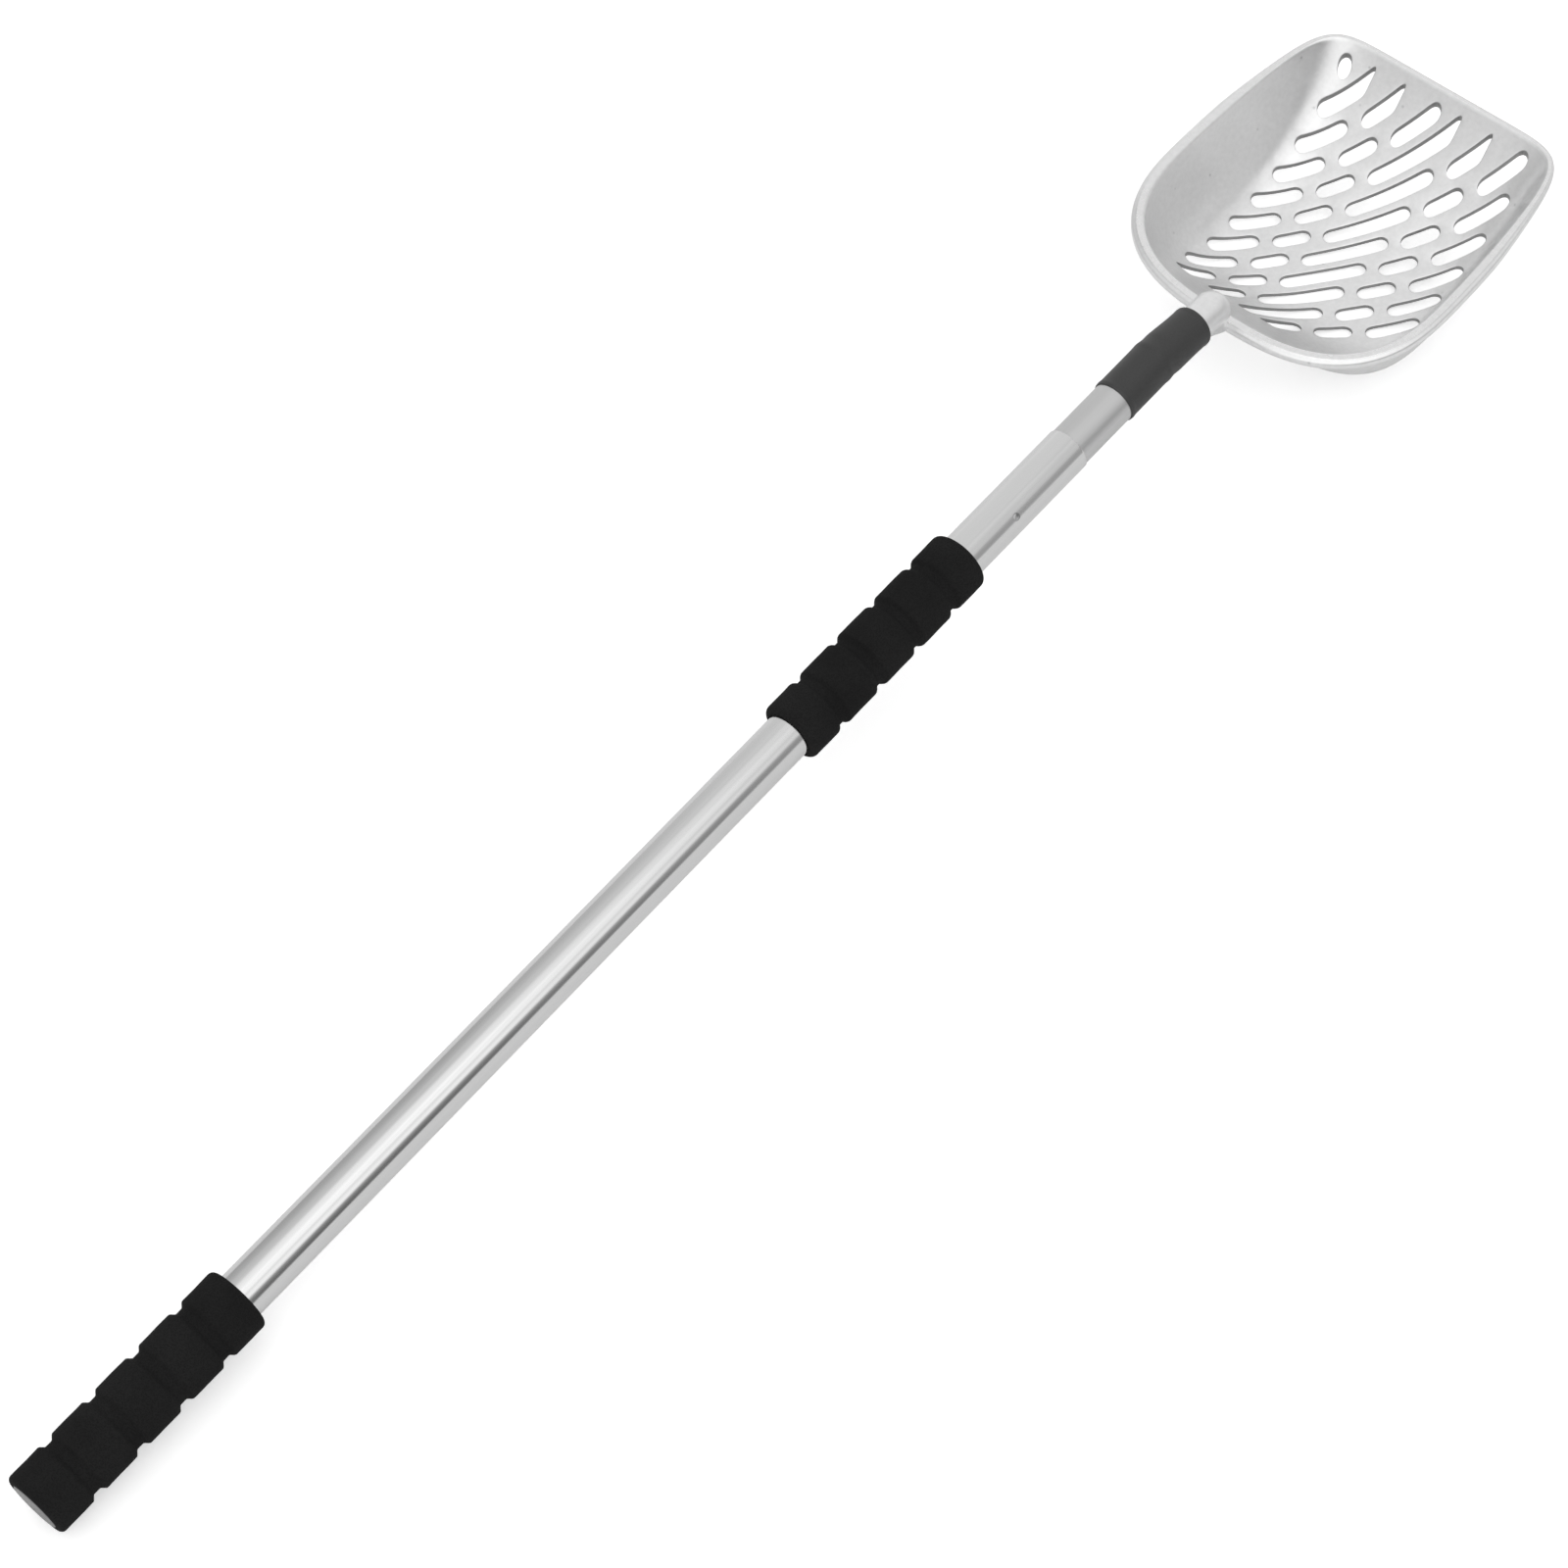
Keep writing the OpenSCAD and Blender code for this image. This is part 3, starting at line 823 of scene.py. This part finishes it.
    @staticmethod
    def within(loop: Array, points: Array) -> Array:
        """Which points lie inside a convex counterclockwise loop."""
        middle = loop.mean(0)
        near = np.linalg.norm(points - middle, axis=1) < np.linalg.norm(loop - middle, axis=1).max()
        ahead = np.roll(loop, -1, 0) - loop
        hit = points[near]
        cross = ahead[:, 0] * (hit[:, None, 1] - loop[:, 1]) - ahead[:, 1] * (hit[:, None, 0] - loop[:, 0])
        result = np.zeros(len(points), bool)
        result[near] = (cross > -1e-6).all(1)
        return result

    def slot_rows(self, slot: Slot) -> tuple[list[Array], Array, Array]:
        """Rows of one slot's wall from the inner skin to the outer, with both edges rounded.

        A rounded edge is a quarter turn: out = r (1 - sin a), down = r (1 - cos a).

        Args:
            slot: The slot.

        Returns:
            The rows between the two skins, and the inner and outer plan loops that they start and end on.
        """
        loop = slot.outline()
        top, bottom = self.edge_round, self.under_round
        rows = []
        for a in np.linspace(0, math.pi / 2, 6)[1:]:
            at = spread(loop, top * (1 - math.sin(a)))
            rows.append(np.column_stack([at, self.skin(at[:, 0], at[:, 1]) - top * (1 - math.cos(a))]))
        for a in np.linspace(math.pi / 2, 0, 4)[:-1]:
            at = spread(loop, bottom * (1 - math.sin(a)))
            out = self.outer(*self.under(at[:, 0], at[:, 1]))
            rows.append(np.column_stack([at, out[:, 2] + bottom * (1 - math.cos(a))]))
        below = spread(loop, bottom)
        return rows, spread(loop, top), np.stack(self.under(below[:, 0], below[:, 1]), -1)

    def build(self) -> bpy.types.Object:
        """Build the dish: floor, wall, rim and underside, with the slots' walls between the skins."""
        low_in, low_out = self.floor_share(self.floor_in), self.floor_share(self.floor_out)
        wall_in = self.even_shares(low_in, np.ones(self.around), self.wall_margin, self.wall_rows, False)
        wall_out = self.even_shares(low_out, np.full(self.around, self.outer_end), 0.0, self.wall_rows, True)
        inner_rows = [self.row(share) for share in wall_in]
        outer_rows = [self.row(share, True) for share in wall_out[::-1]]
        knee = self.row(self.knee_share, True)
        knee[:, 2] = np.minimum(knee[:, 2], self.rim_row(0.8, 1.0)[:, 2] - 0.2)
        rim_rows = [self.rim_row(out, down) for out, down in self.rim_top]
        rows = (inner_rows + self.bend(inner_rows[-1], self.rim_row(0.0, 0.0), rim_rows[0], self.bend_rows)
                + rim_rows + self.bend(rim_rows[-1], knee, outer_rows[0], self.bend_rows) + outer_rows)
        ground = np.zeros(len(rows))
        ground[len(inner_rows) + 5:len(inner_rows) + 10] = 1.0
        quads = [grid_faces(len(rows), self.around)]
        last_row = (len(rows) - 1) * self.around
        points, tris, marks = [np.concatenate(rows)], [], [np.repeat(ground, self.around)]
        # per-point share of painted shade for the slots' walls, 0 everywhere else
        cuts = [np.zeros(len(rows) * self.around)]
        count = len(points[0])
        walls = [self.slot_rows(slot) for slot in self.slots()]
        loops_at = []
        for outside, edge_start in ((False, 0), (True, last_row)):
            edge_share = low_out if outside else low_in
            loops = [wall[2 if outside else 1] for wall in walls]
            plan, found = self.skin_mesh(np.stack(self.plan(edge_share, self.turns), -1), loops, outside)
            skin = (self.outer if outside else self.inner)(plan[:, 0], plan[:, 1])
            index = np.concatenate([np.arange(self.around) + edge_start,
                                    np.arange(len(plan) - self.around) + count])
            points.append(skin[self.around:])
            marks.append(np.zeros(len(plan) - self.around))
            cuts.append(np.zeros(len(plan) - self.around))
            tris.append(index[found] if not outside else index[found][:, ::-1])
            loops_at.append(count + np.cumsum([0] + [len(loop) for loop in loops[:-1]]))
            count += len(plan) - self.around
        for k, (between, inner_loop, _) in enumerate(walls):
            n = len(inner_loop)
            points.append(np.concatenate(between))
            marks.append(np.zeros(n * len(between)))
            # painted shade: 0 at the top edge's rounding, rising to 1 down each slot's wall
            cuts.append(np.repeat(smoothstep((np.arange(len(between)) - 0.5) / 3), n))
            ring = np.concatenate([np.arange(n) + loops_at[0][k], np.arange(n * len(between)) + count,
                                   np.arange(n) + loops_at[1][k]])
            quads.append(ring[grid_faces(len(between) + 2, n)])
            count += n * len(between)
        everything = np.concatenate(points)
        mesh = build_mesh("cast_dish", self.lay(everything), np.concatenate(quads), np.concatenate(tris))
        self.point_outwards(mesh)
        set_attribute(mesh, "ground", np.concatenate(marks))
        # the cut attribute carries the painted shade on the slots' walls
        set_attribute(mesh, "cut", np.concatenate(cuts))
        return place("cast_dish", mesh, Body.INNER, CAST, ("scoop_head",))

    def lay(self, points: Array) -> Array:
        """Carry points from the rim plane's own axes to the pole's: turned down by the tilt, then moved."""
        c, s = math.cos(self.tilt), math.sin(self.tilt)
        x, y, z = points.T
        return np.stack([self.at + x * c + z * s, y, -self.drop - x * s + z * c], -1)

    @staticmethod
    def point_outwards(mesh: bpy.types.Mesh) -> None:
        """Make a closed mesh's faces agree and point outwards."""
        work = bmesh.new()
        work.from_mesh(mesh)
        bmesh.ops.recalc_face_normals(work, faces=work.faces)
        if work.calc_volume(signed=True) < 0:
            bmesh.ops.reverse_faces(work, faces=work.faces)
        open_edges = sum(1 for edge in work.edges if not edge.is_manifold)
        log.info("cast_dish: %d open edges, volume %.0f mm3", open_edges, work.calc_volume() / MM**3)
        work.to_mesh(mesh)
        work.free()


@dataclass
class Stem:
    """The cast stem: a round bar with a domed nose on the rim, and the saddle under it."""

    rim_back: float
    start: float = field(init=False)
    tilt: float = math.radians(8)
    length: float = 42.0
    radius: float = 9.0
    tang: float = 24.0
    rim_drop: float = 16.6
    voxel: float = 0.6 * MM
    easing: int = 8
    tang_slack: float = 0.6
    saddle: tuple[tuple[float, float, float], ...] = ((32.0, 0.0, -3.0), (41.0, 0.0, -3.0))
    saddle_balls: tuple[float, float] = (6.4, 7.4)
    foot_aside: float = 3.5
    foot_drop: float = 2.4
    foot_ball: float = 2.9

    def __post_init__(self) -> None:
        """Start at the inner tube's front end."""
        self.start = box_mm("inner_tube")[1][0]

    def tilted(self, points: Array) -> Array:
        """Turn points down about the end of the pole: x' = start + x cos + z sin, z' = z cos - x sin."""
        c, s = math.cos(self.tilt), math.sin(self.tilt)
        x, y, z = points.T
        return np.stack([self.start + x * c + z * s, y, z * c - x * s], -1)

    def ball(self, middle: Array, radius: float) -> Array:
        """Points of a ball, rings by turns."""
        up, turn = np.meshgrid(np.linspace(0, math.pi, 25), np.linspace(0, FULL_TURN, 48, endpoint=False))
        shell = np.stack([np.sin(up) * np.cos(turn), np.sin(up) * np.sin(turn), np.cos(up)], -1)
        return shell.reshape(-1, 3) * radius + middle

    def hull(self, points: Array) -> bpy.types.Mesh:
        """The closed hull round a set of points, in millimetres."""
        work = bmesh.new()
        for p in points.tolist():
            work.verts.new(p)
        found = bmesh.ops.convex_hull(work, input=work.verts)
        bmesh.ops.delete(work, geom=found["geom_interior"], context="VERTS")
        mesh = bpy.data.meshes.new("hull")
        work.to_mesh(mesh)
        work.free()
        return mesh

    def build(self) -> bpy.types.Object:
        """Join the bar, its nose and the saddle, remesh them as one casting and ease the joins."""
        a = np.linspace(0, math.pi / 2, 16)[1:-1]
        profile = np.concatenate([[[-self.tang, self.radius - self.tang_slack], [self.length, self.radius]],
                                  np.stack([self.length + self.radius * np.sin(a), self.radius * np.cos(a)], -1)])
        bar, quads, tris = lathe_solid(profile, 96)
        bar = np.where(bar[:, :1] < 0, bar + [self.start, 0, 0], self.tilted(bar))
        feet = [np.array([self.rim_back, side * self.foot_aside, -self.rim_drop - self.foot_drop]) for side in (-1, 1)]
        balls = list(zip(self.tilted(np.array(self.saddle)), self.saddle_balls)) + [(p, self.foot_ball) for p in feet]
        cloud = np.concatenate([self.ball(middle, radius) for middle, radius in balls])
        work = bmesh.new()
        for part in (build_mesh("bar", bar, quads, tris), self.hull(cloud * MM)):
            work.from_mesh(part)
        joined = bpy.data.meshes.new("cast_stem_rough")
        work.to_mesh(joined)
        work.free()
        mesh = self.remesh(joined)
        return place("cast_stem", mesh, Body.INNER, CAST, ("scoop_head",))

    def remesh(self, rough: bpy.types.Mesh) -> bpy.types.Mesh:
        """Remesh overlapping shells as one and ease them, then give the plain mesh back."""
        obj = bpy.data.objects.new("rough", rough)
        bpy.context.scene.collection.objects.link(obj)
        remesh = obj.modifiers.new("remesh", "REMESH")
        remesh.mode = "VOXEL"
        remesh.voxel_size = self.voxel
        remesh.use_smooth_shade = True
        smooth = obj.modifiers.new("smooth", "SMOOTH")
        smooth.iterations = self.easing
        smooth.factor = 0.5
        shown = obj.evaluated_get(bpy.context.evaluated_depsgraph_get())
        mesh = bpy.data.meshes.new_from_object(shown)
        mesh.name = "cast_stem"
        bpy.data.objects.remove(obj)
        return mesh


# ---- Pole ----


@dataclass
class Sleeve:
    """The rubber sleeve over the joint of tube and stem, bent with the stem."""

    start: float = field(init=False)
    bend_at: float = field(init=False)
    end: float = field(init=False)
    radius: float = 10.95
    tip_radius: float = 10.35
    bore: float = 10.42
    stem_radius: float = 9.02
    tilt: float = math.radians(8)
    bend_half: float = 7.0
    lip: float = 0.22
    front_lip: float = 0.16
    ring: float = 0.2
    waist: float = 0.22
    sides: int = 160

    def __post_init__(self) -> None:
        """Take the ends from the sleeve's box, and the bend from the inner tube's front end."""
        low, high = box_mm("neck_sleeve")
        self.start = low[0]
        self.end = high[0] - self.tip_radius * math.sin(self.tilt)
        self.bend_at = box_mm("inner_tube")[1][0]

    def centre(self, s: Array) -> tuple[Array, Array]:
        """The bent centre line: straight, an even bend round bend_at, then straight at the tilt.

        Args:
            s: Distances along the line, from the butt.

        Returns:
            Points, and the angle of the line at each.
        """
        fine = np.linspace(self.start - 5, self.end + 10, 2000)
        angle = self.tilt * smoothstep((fine - self.bend_at + self.bend_half) / (2 * self.bend_half))
        step = fine[1] - fine[0]
        x = fine[0] + np.concatenate([[0], np.cumsum(np.cos(angle[:-1]) * step)])
        z = -np.concatenate([[0], np.cumsum(np.sin(angle[:-1]) * step)])
        return np.stack([np.interp(s, fine, x), np.interp(s, fine, z)], -1), np.interp(s, fine, angle)

    def profile(self) -> Array:
        """Closed profile of [distance along, radius]: lips at both ends and a soft ring over the tube's end.

        Each swell adds height exp(-((s - at) / width)^2) to the radius.
        """
        s = np.linspace(self.start + 0.5, self.end - 0.5, 150)
        fall = smoothstep((s - self.bend_at - 2) / (self.end - self.bend_at - 6))
        r = self.radius + (self.tip_radius - self.radius) * fall
        swells = ((self.start + 1.6, self.lip, 1.2), (self.end - 1.4, self.front_lip, 1.0),
                  (self.bend_at - 1.5, self.ring, 1.6), (self.bend_at + 3.0, -self.waist, 2.4))
        for at, height, width in swells:
            r = r + height * np.exp(-((s - at) / width) ** 2)
        outside = np.stack([s, r], -1)
        front = arc((self.end - 0.5, r[-1]), (self.end, r[-1]), (self.end, r[-1] - 0.5), 4)[1:]
        back = arc((self.start, r[0] - 0.5), (self.start, r[0]), (self.start + 0.5, r[0]), 4)[:-1]
        inside_s = np.linspace(self.end, self.start, 24)
        inside_r = np.where(inside_s > self.bend_at, self.stem_radius, self.bore)
        return np.concatenate([back, outside, front, np.stack([inside_s, inside_r], -1)])

    def build(self) -> bpy.types.Object:
        """Carry the profile's rings along the bent centre line."""
        ring = self.profile()
        centre, angle = self.centre(ring[:, 0])
        around = np.arange(self.sides) * FULL_TURN / self.sides
        r = ring[:, 1:]
        up, side = r * np.cos(around), r * np.sin(around)
        x = centre[:, :1] + up * np.sin(angle)[:, None]
        z = centre[:, 1:] + up * np.cos(angle)[:, None]
        points = np.stack([x, side, z], -1).reshape(-1, 3)
        quads = grid_faces(len(ring) + 1, self.sides) % len(points)
        return place("neck_sleeve_skin", build_mesh("neck_sleeve_skin", points, quads), Body.INNER, SLEEVE,
                     ("neck_sleeve",))


@dataclass
class Pole:
    """The two tubes, one sliding in the other."""

    outer_start: float = field(init=False)
    outer_end: float = field(init=False)
    outer_radius: float = 11.0
    outer_bore: float = 10.45
    inner_start: float = field(init=False)
    inner_end: float = field(init=False)
    inner_radius: float = 10.4
    inner_bore: float = 9.2
    punch_at: float = field(init=False)
    punch_back: float = 46.0
    punch_turn: float = math.radians(51)
    punch_ball: float = 5.0
    punch_depth: float = 0.3
    edge: float = 0.14
    support: float = 0.6
    sides: int = 192

    def __post_init__(self) -> None:
        """Take the tubes' ends from their boxes, and the punch mark's place from the outer tube's mouth."""
        (self.outer_start, self.outer_end), (self.inner_start, self.inner_end) = (
            (box_mm(node)[0][0], box_mm(node)[1][0]) for node in ("outer_tube", "inner_tube"))
        self.punch_at = self.outer_end - self.punch_back

    def tube_profile(self, start: float, end: float, outside: float, bore: float, extra: Array) -> Array:
        """Closed profile of a tube with broken edges, with extra stations along its outside and by its ends."""
        e, near = self.edge, self.support
        out = np.concatenate([[start + e, start + near], extra, [end - near, end - e]])
        skin = np.stack([out, np.full(len(out), outside)], -1)
        return np.concatenate([[[start, outside - e]], skin, [[end, outside - e], [end, bore + e / 2],
                                                              [end - e / 2, bore], [end - near, bore],
                                                              [start + near, bore], [start + e / 2, bore],
                                                              [start, bore + e / 2]]])

    def build_outer(self) -> bpy.types.Object:
        """The outer tube, with a round punch mark pressed into its skin.

        The mark lowers a point by the depth of a ball's cap: sqrt(R^2 - d^2) - (R - depth).
        """
        rough = np.arange(20.0, self.punch_at - 10, 40.0)
        near = np.arange(self.punch_at - 3, self.punch_at + 3.01, 0.25)
        profile = self.tube_profile(self.outer_start, self.outer_end, self.outer_radius, self.outer_bore,
                                    np.concatenate([rough, near, [self.punch_at + 20]]))
        points, quads = lathe(profile, self.sides)
        x, y, z = points.T
        turn = np.arctan2(-y, z)
        gap = np.hypot(x - self.punch_at, (turn - self.punch_turn) * self.outer_radius)
        cap = np.sqrt(np.maximum(self.punch_ball**2 - gap**2, 0)) - (self.punch_ball - self.punch_depth)
        skin = np.abs(np.hypot(y, z) - self.outer_radius) < 0.01
        lower = np.where(skin, np.maximum(cap, 0), 0) / self.outer_radius
        points = np.stack([x, y * (1 - lower), z * (1 - lower)], -1)
        return place("outer_tube_skin", build_mesh("outer_tube_skin", points, quads), Body.OUTER, POLISHED,
                     ("outer_tube",))

    def build_inner(self) -> bpy.types.Object:
        """The inner tube."""
        profile = self.tube_profile(self.inner_start, self.inner_end, self.inner_radius, self.inner_bore,
                                    np.arange(self.inner_start + 20, self.inner_end - 10, 40.0))
        points, quads = lathe(profile, self.sides)
        return place("inner_tube_skin", build_mesh("inner_tube_skin", points, quads), Body.INNER, SATIN,
                     ("inner_tube",))


@dataclass
class Grip:
    """A foam grip of straight segments with rounded grooves between them."""

    name: str
    node: str
    pitch: float
    seat: float = 0.0
    seat_radius: float = 11.72
    start: float = field(init=False)
    length: float = field(init=False)
    radius: float = field(init=False)
    bore: float = 11.0
    segments: int = 5
    groove: float = 8.2
    depth: float = 2.0
    edge: float = 2.4
    sides: int = 160
    wander: float = 0.1
    flank: float = 0.32
    rows: int = 260
    waves: tuple[tuple[float, float, float], ...] = ((0.21, 2, 0), (0.083, -3, 1.3), (0.47, 5, 0))

    def __post_init__(self) -> None:
        """Take the grip's ends and its radius from its box."""
        low, high = box_mm(self.node)
        self.start, self.length, self.radius = low[0], high[0] - low[0], high[2]

    def height(self, s: Array) -> Array:
        """Radius of the skin at distances s from the grip's start.

        Each groove is a flat floor between two eased flanks, and each end edge is a quarter circle.
        """
        count = (s - self.length / 2) / self.pitch + self.segments / 2
        near = np.abs(count - np.round(count)) * self.pitch
        inside = (np.round(count) > 0) & (np.round(count) < self.segments)
        cut = smoothstep((self.groove / 2 - near) / (self.groove * self.flank)) * self.depth * inside
        gap = np.minimum(np.minimum(s, self.length - s), self.edge)
        fall = self.edge - np.sqrt(np.maximum(self.edge**2 - (self.edge - gap) ** 2, 0))
        return self.radius - cut - fall

    def build(self) -> bpy.types.Object:
        """Build the grip with a skin that wanders by a mean of waves sin(along x + lobes turn + phase)."""
        ends = self.edge * (1 - np.cos(np.linspace(0, math.pi / 2, 9)))
        s = np.concatenate([ends, np.linspace(self.edge, self.length - self.edge, self.rows)[1:-1],
                            (self.length - ends)[::-1]])
        skin = np.stack([self.start + s, self.height(s) - self.wander], -1)
        inner = [[self.start + self.length, self.bore], [self.start + self.seat, self.bore]]
        if self.seat > 0:
            inner += [[self.start + self.seat, self.seat_radius], [self.start, self.seat_radius]]
        points, quads = lathe(np.concatenate([skin, inner]), self.sides)
        x, y, z = points.T
        turn = np.arctan2(y, z)
        wave = sum(np.sin(x * along + lobes * turn + phase) for along, lobes, phase in self.waves) / len(self.waves)
        r = np.hypot(y, z)
        stretch = 1 + np.where(r > self.bore + 1.0, self.wander * wave, 0) / r
        points = np.stack([x, y * stretch, z * stretch], -1)
        piece = place(self.name, build_mesh(self.name, points, quads), Body.OUTER, FOAM, (self.node,))
        return piece


@dataclass
class Cap:
    """The plug in the butt end, with a thin flange."""

    flange: float = 11.7
    edge: float = 1.0
    seat: float = 1.2
    spigot_start: float = 2.2
    spigot: float = 10.42
    length: float = 22.0
    tube: float = 11.0
    chamfer: float = 0.5
    sides: int = 160

    def build(self) -> bpy.types.Object:
        """Turn the flange and its spigot."""
        end = self.spigot_start + self.length
        face = arc((0.0, self.flange - self.edge), (0.0, self.flange), (self.edge, self.flange), 8)
        profile = np.concatenate([[[0.02, 2.0], [0.0, 7.0]], face,
                                  [[self.seat, self.flange], [self.seat, self.tube],
                                   [self.spigot_start, self.tube], [self.spigot_start, self.spigot],
                                   [end - self.chamfer, self.spigot], [end, self.spigot - self.chamfer]]])
        points, quads, tris = lathe_solid(profile, self.sides)
        return place("butt_cap", build_mesh("butt_cap", points, quads, tris), Body.OUTER, GREY_CAP, ("end_plug",))


@dataclass
class HiddenParts:
    """The lock's parts and the cross pin, shown as they are in the frame."""

    finishes: dict[str, Finish] = field(default_factory=lambda: {
        "lock_plug": DARK_PLUG, "lock_stud": STEEL, "lock_expander": WHITE_WEDGE, "lock_washer": STEEL,
        "lock_nut": STEEL, "neck_pin": STEEL})

    def dress(self) -> None:
        """Give each part its finish."""
        for name, finish in self.finishes.items():
            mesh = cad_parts[name].data
            mesh.materials.clear()
            mesh.materials.append(finish.material())
            log.info("%s: dressed", name)


# ---- Studio ----


@dataclass
class Studio:
    """Plain pale floor, soft overhead light and the camera.

    Strips are [degrees round the pole, level] pairs, seen in directions behind and ahead along the pole.
    """

    lean: float = math.radians(19.4)
    side: float = math.radians(24.6)
    turn: float = math.radians(45.83)
    lens: float = 90.8
    eye: tuple[float, float, float] = (-130.8, -682.6, 1458.7)
    dish_lowest: float = 96.0
    floor_gap: float = 0.4
    floor_size: float = 8.0
    glow: float = 0.45
    sky_strength: float = 1.25
    sky_blend: tuple[float, float] = (0.2, 0.42)
    behind: tuple[tuple[float, float], ...] = (
        (-94, 0.6), (-86, 0.375), (-79, 0.375), (-66, 0.41), (-55, 0.447), (-44, 0.527), (-34, 0.572), (-24, 0.6),
        (-15, 0.835), (-6, 0.9), (2.5, 0.95), (11, 1.09), (20, 1.03), (28, 1.05), (32, 0.94), (36.6, 0.8),
        (45, 0.95), (54, 0.98), (58, 0.72), (63, 0.33), (72, 0.18), (81, 0.14), (86, 0.14), (91, 0.61))
    ahead: tuple[tuple[float, float], ...] = (
        (-77, 0.7), (-51, 0.67), (-30, 0.66), (-10, 0.645), (4.5, 0.61), (18, 0.655), (32, 0.57), (46, 0.575),
        (55, 0.55), (60, 0.455), (65, 0.385), (75, 0.344), (85, 0.344), (90, 0.55))

    def camera(self) -> None:
        """Place the camera from its lean, its side angle and its turn about the view axis."""
        sa, ca, ss, cs = math.sin(self.lean), math.cos(self.lean), math.sin(self.side), math.cos(self.side)
        look = Vector((sa, ca * ss, -ca * cs))
        first, second = Vector((ca, -sa * ss, sa * cs)), Vector((0.0, cs, ss))
        right = math.cos(self.turn) * first - math.sin(self.turn) * second
        up = math.sin(self.turn) * first + math.cos(self.turn) * second
        data = bpy.data.cameras.new("camera")
        data.lens = self.lens
        data.sensor_width = 36.0
        data.clip_start = 0.05
        obj = bpy.data.objects.new("camera", data)
        bpy.context.scene.collection.objects.link(obj)
        obj.matrix_world = Matrix.Translation(Vector(self.eye) * MM) @ Matrix((right, up, -look)).transposed().to_4x4()
        bpy.context.scene.camera = obj

    def floor(self) -> None:
        """A pale plane that touches the dish's floor and the rear end of the butt grip."""
        head, grip = box_mm("scoop_head")[0], box_mm("butt_grip")[0]
        x0, z0 = box_mm("scoop_head")[1][0] - self.dish_lowest, head[2] - self.floor_gap
        x1, z1 = grip[0], grip[2] - self.floor_gap
        slope = math.atan2(z1 - z0, x1 - x0)
        along = Vector((math.cos(slope), 0, math.sin(slope))) * self.floor_size / 2
        across = Vector((0, self.floor_size / 2, 0))
        middle = Vector(((x0 + x1) / 2, 0, (z0 + z1) / 2)) * MM
        mesh = bpy.data.meshes.new("floor")
        corners = [middle + a * along + b * across for a, b in ((-1, -1), (1, -1), (1, 1), (-1, 1))]
        mesh.from_pydata(corners, [], [(0, 1, 2, 3)])
        mesh.materials.append(self.floor_material())
        obj = bpy.data.objects.new("floor", mesh)
        bpy.context.scene.collection.objects.link(obj)

    def floor_material(self) -> bpy.types.Material:
        """A white sheet that glows a little for the camera alone, so that its shadows stay faint."""
        made = bpy.data.materials.new("floor_white")
        made.use_nodes = True
        g = Graph(made.node_tree)
        glow = g.math("MULTIPLY", g.add("LightPath").outputs["Is Camera Ray"], self.glow)
        shader = g.add("BsdfPrincipled", {"Base Color": grey(0.9), "Roughness": 0.9, "Emission Color": grey(1.0),
                                          "Emission Strength": glow})
        g.add("OutputMaterial", {"Surface": shader.outputs[0]})
        return made

    @staticmethod
    def strip_ramp(g: Graph, share: bpy.types.NodeSocket,
                   strips: tuple[tuple[float, float], ...]) -> bpy.types.NodeSocket:
        """A colour ramp whose stops are [degrees, level] strips round a full turn."""
        ramp = g.add("ValToRGB", {"Fac": share})
        stops = ramp.color_ramp.elements
        for degrees, level in strips[1:-1]:
            stops.new(degrees / 360 + 0.5).color = grey(level)
        for stop, (degrees, level) in ((stops[0], strips[0]), (stops[-1], strips[-1])):
            stop.position = degrees / 360 + 0.5
            stop.color = grey(level)
        return ramp.outputs["Color"]

    def light(self) -> None:
        """A soft sky lit in strips by the angle round the pole, with one set behind and another ahead."""
        world = bpy.data.worlds.new("sky")
        world.use_nodes = True
        g = Graph(world.node_tree)
        way = g.add("SeparateXYZ", {0: g.add("TexCoord").outputs["Generated"]})
        right = g.math("MULTIPLY", way.outputs["Y"], -1.0)
        share = g.ramp(g.math("ARCTAN2", right, way.outputs["Z"]), -math.pi, math.pi)
        low, high = self.sky_blend
        forward = g.add("MapRange", {"Value": way.outputs["X"], "From Min": low, "From Max": high},
                        interpolation_type="SMOOTHSTEP")
        strips = g.mix(forward.outputs["Result"], self.strip_ramp(g, share, self.behind),
                       self.strip_ramp(g, share, self.ahead))
        seen = g.add("LightPath").outputs["Is Camera Ray"]
        back = g.add("Background", {"Color": g.mix(seen, strips, grey(1.0)), "Strength": self.sky_strength})
        g.add("OutputWorld", {"Surface": back.outputs[0]})
        bpy.context.scene.world = world
        bpy.context.scene.view_settings.view_transform = "Standard"


def main() -> None:
    """Build every piece in order, from the dish to the butt, then the studio."""
    logging.basicConfig(level=logging.INFO, format="%(message)s")
    dish = Dish()
    dish.build()
    Stem(dish.at).build()
    Sleeve().build()
    pole = Pole()
    pole.build_inner()
    pole.build_outer()
    Grip("mid_grip_foam", "mid_grip", 24.9).build()
    Grip("butt_grip_foam", "butt_grip", 24.3, seat=0.9).build()
    Cap().build()
    HiddenParts().dress()
    studio = Studio()
    studio.floor()
    studio.light()
    studio.camera()


if __name__ == "__main__":
    main()
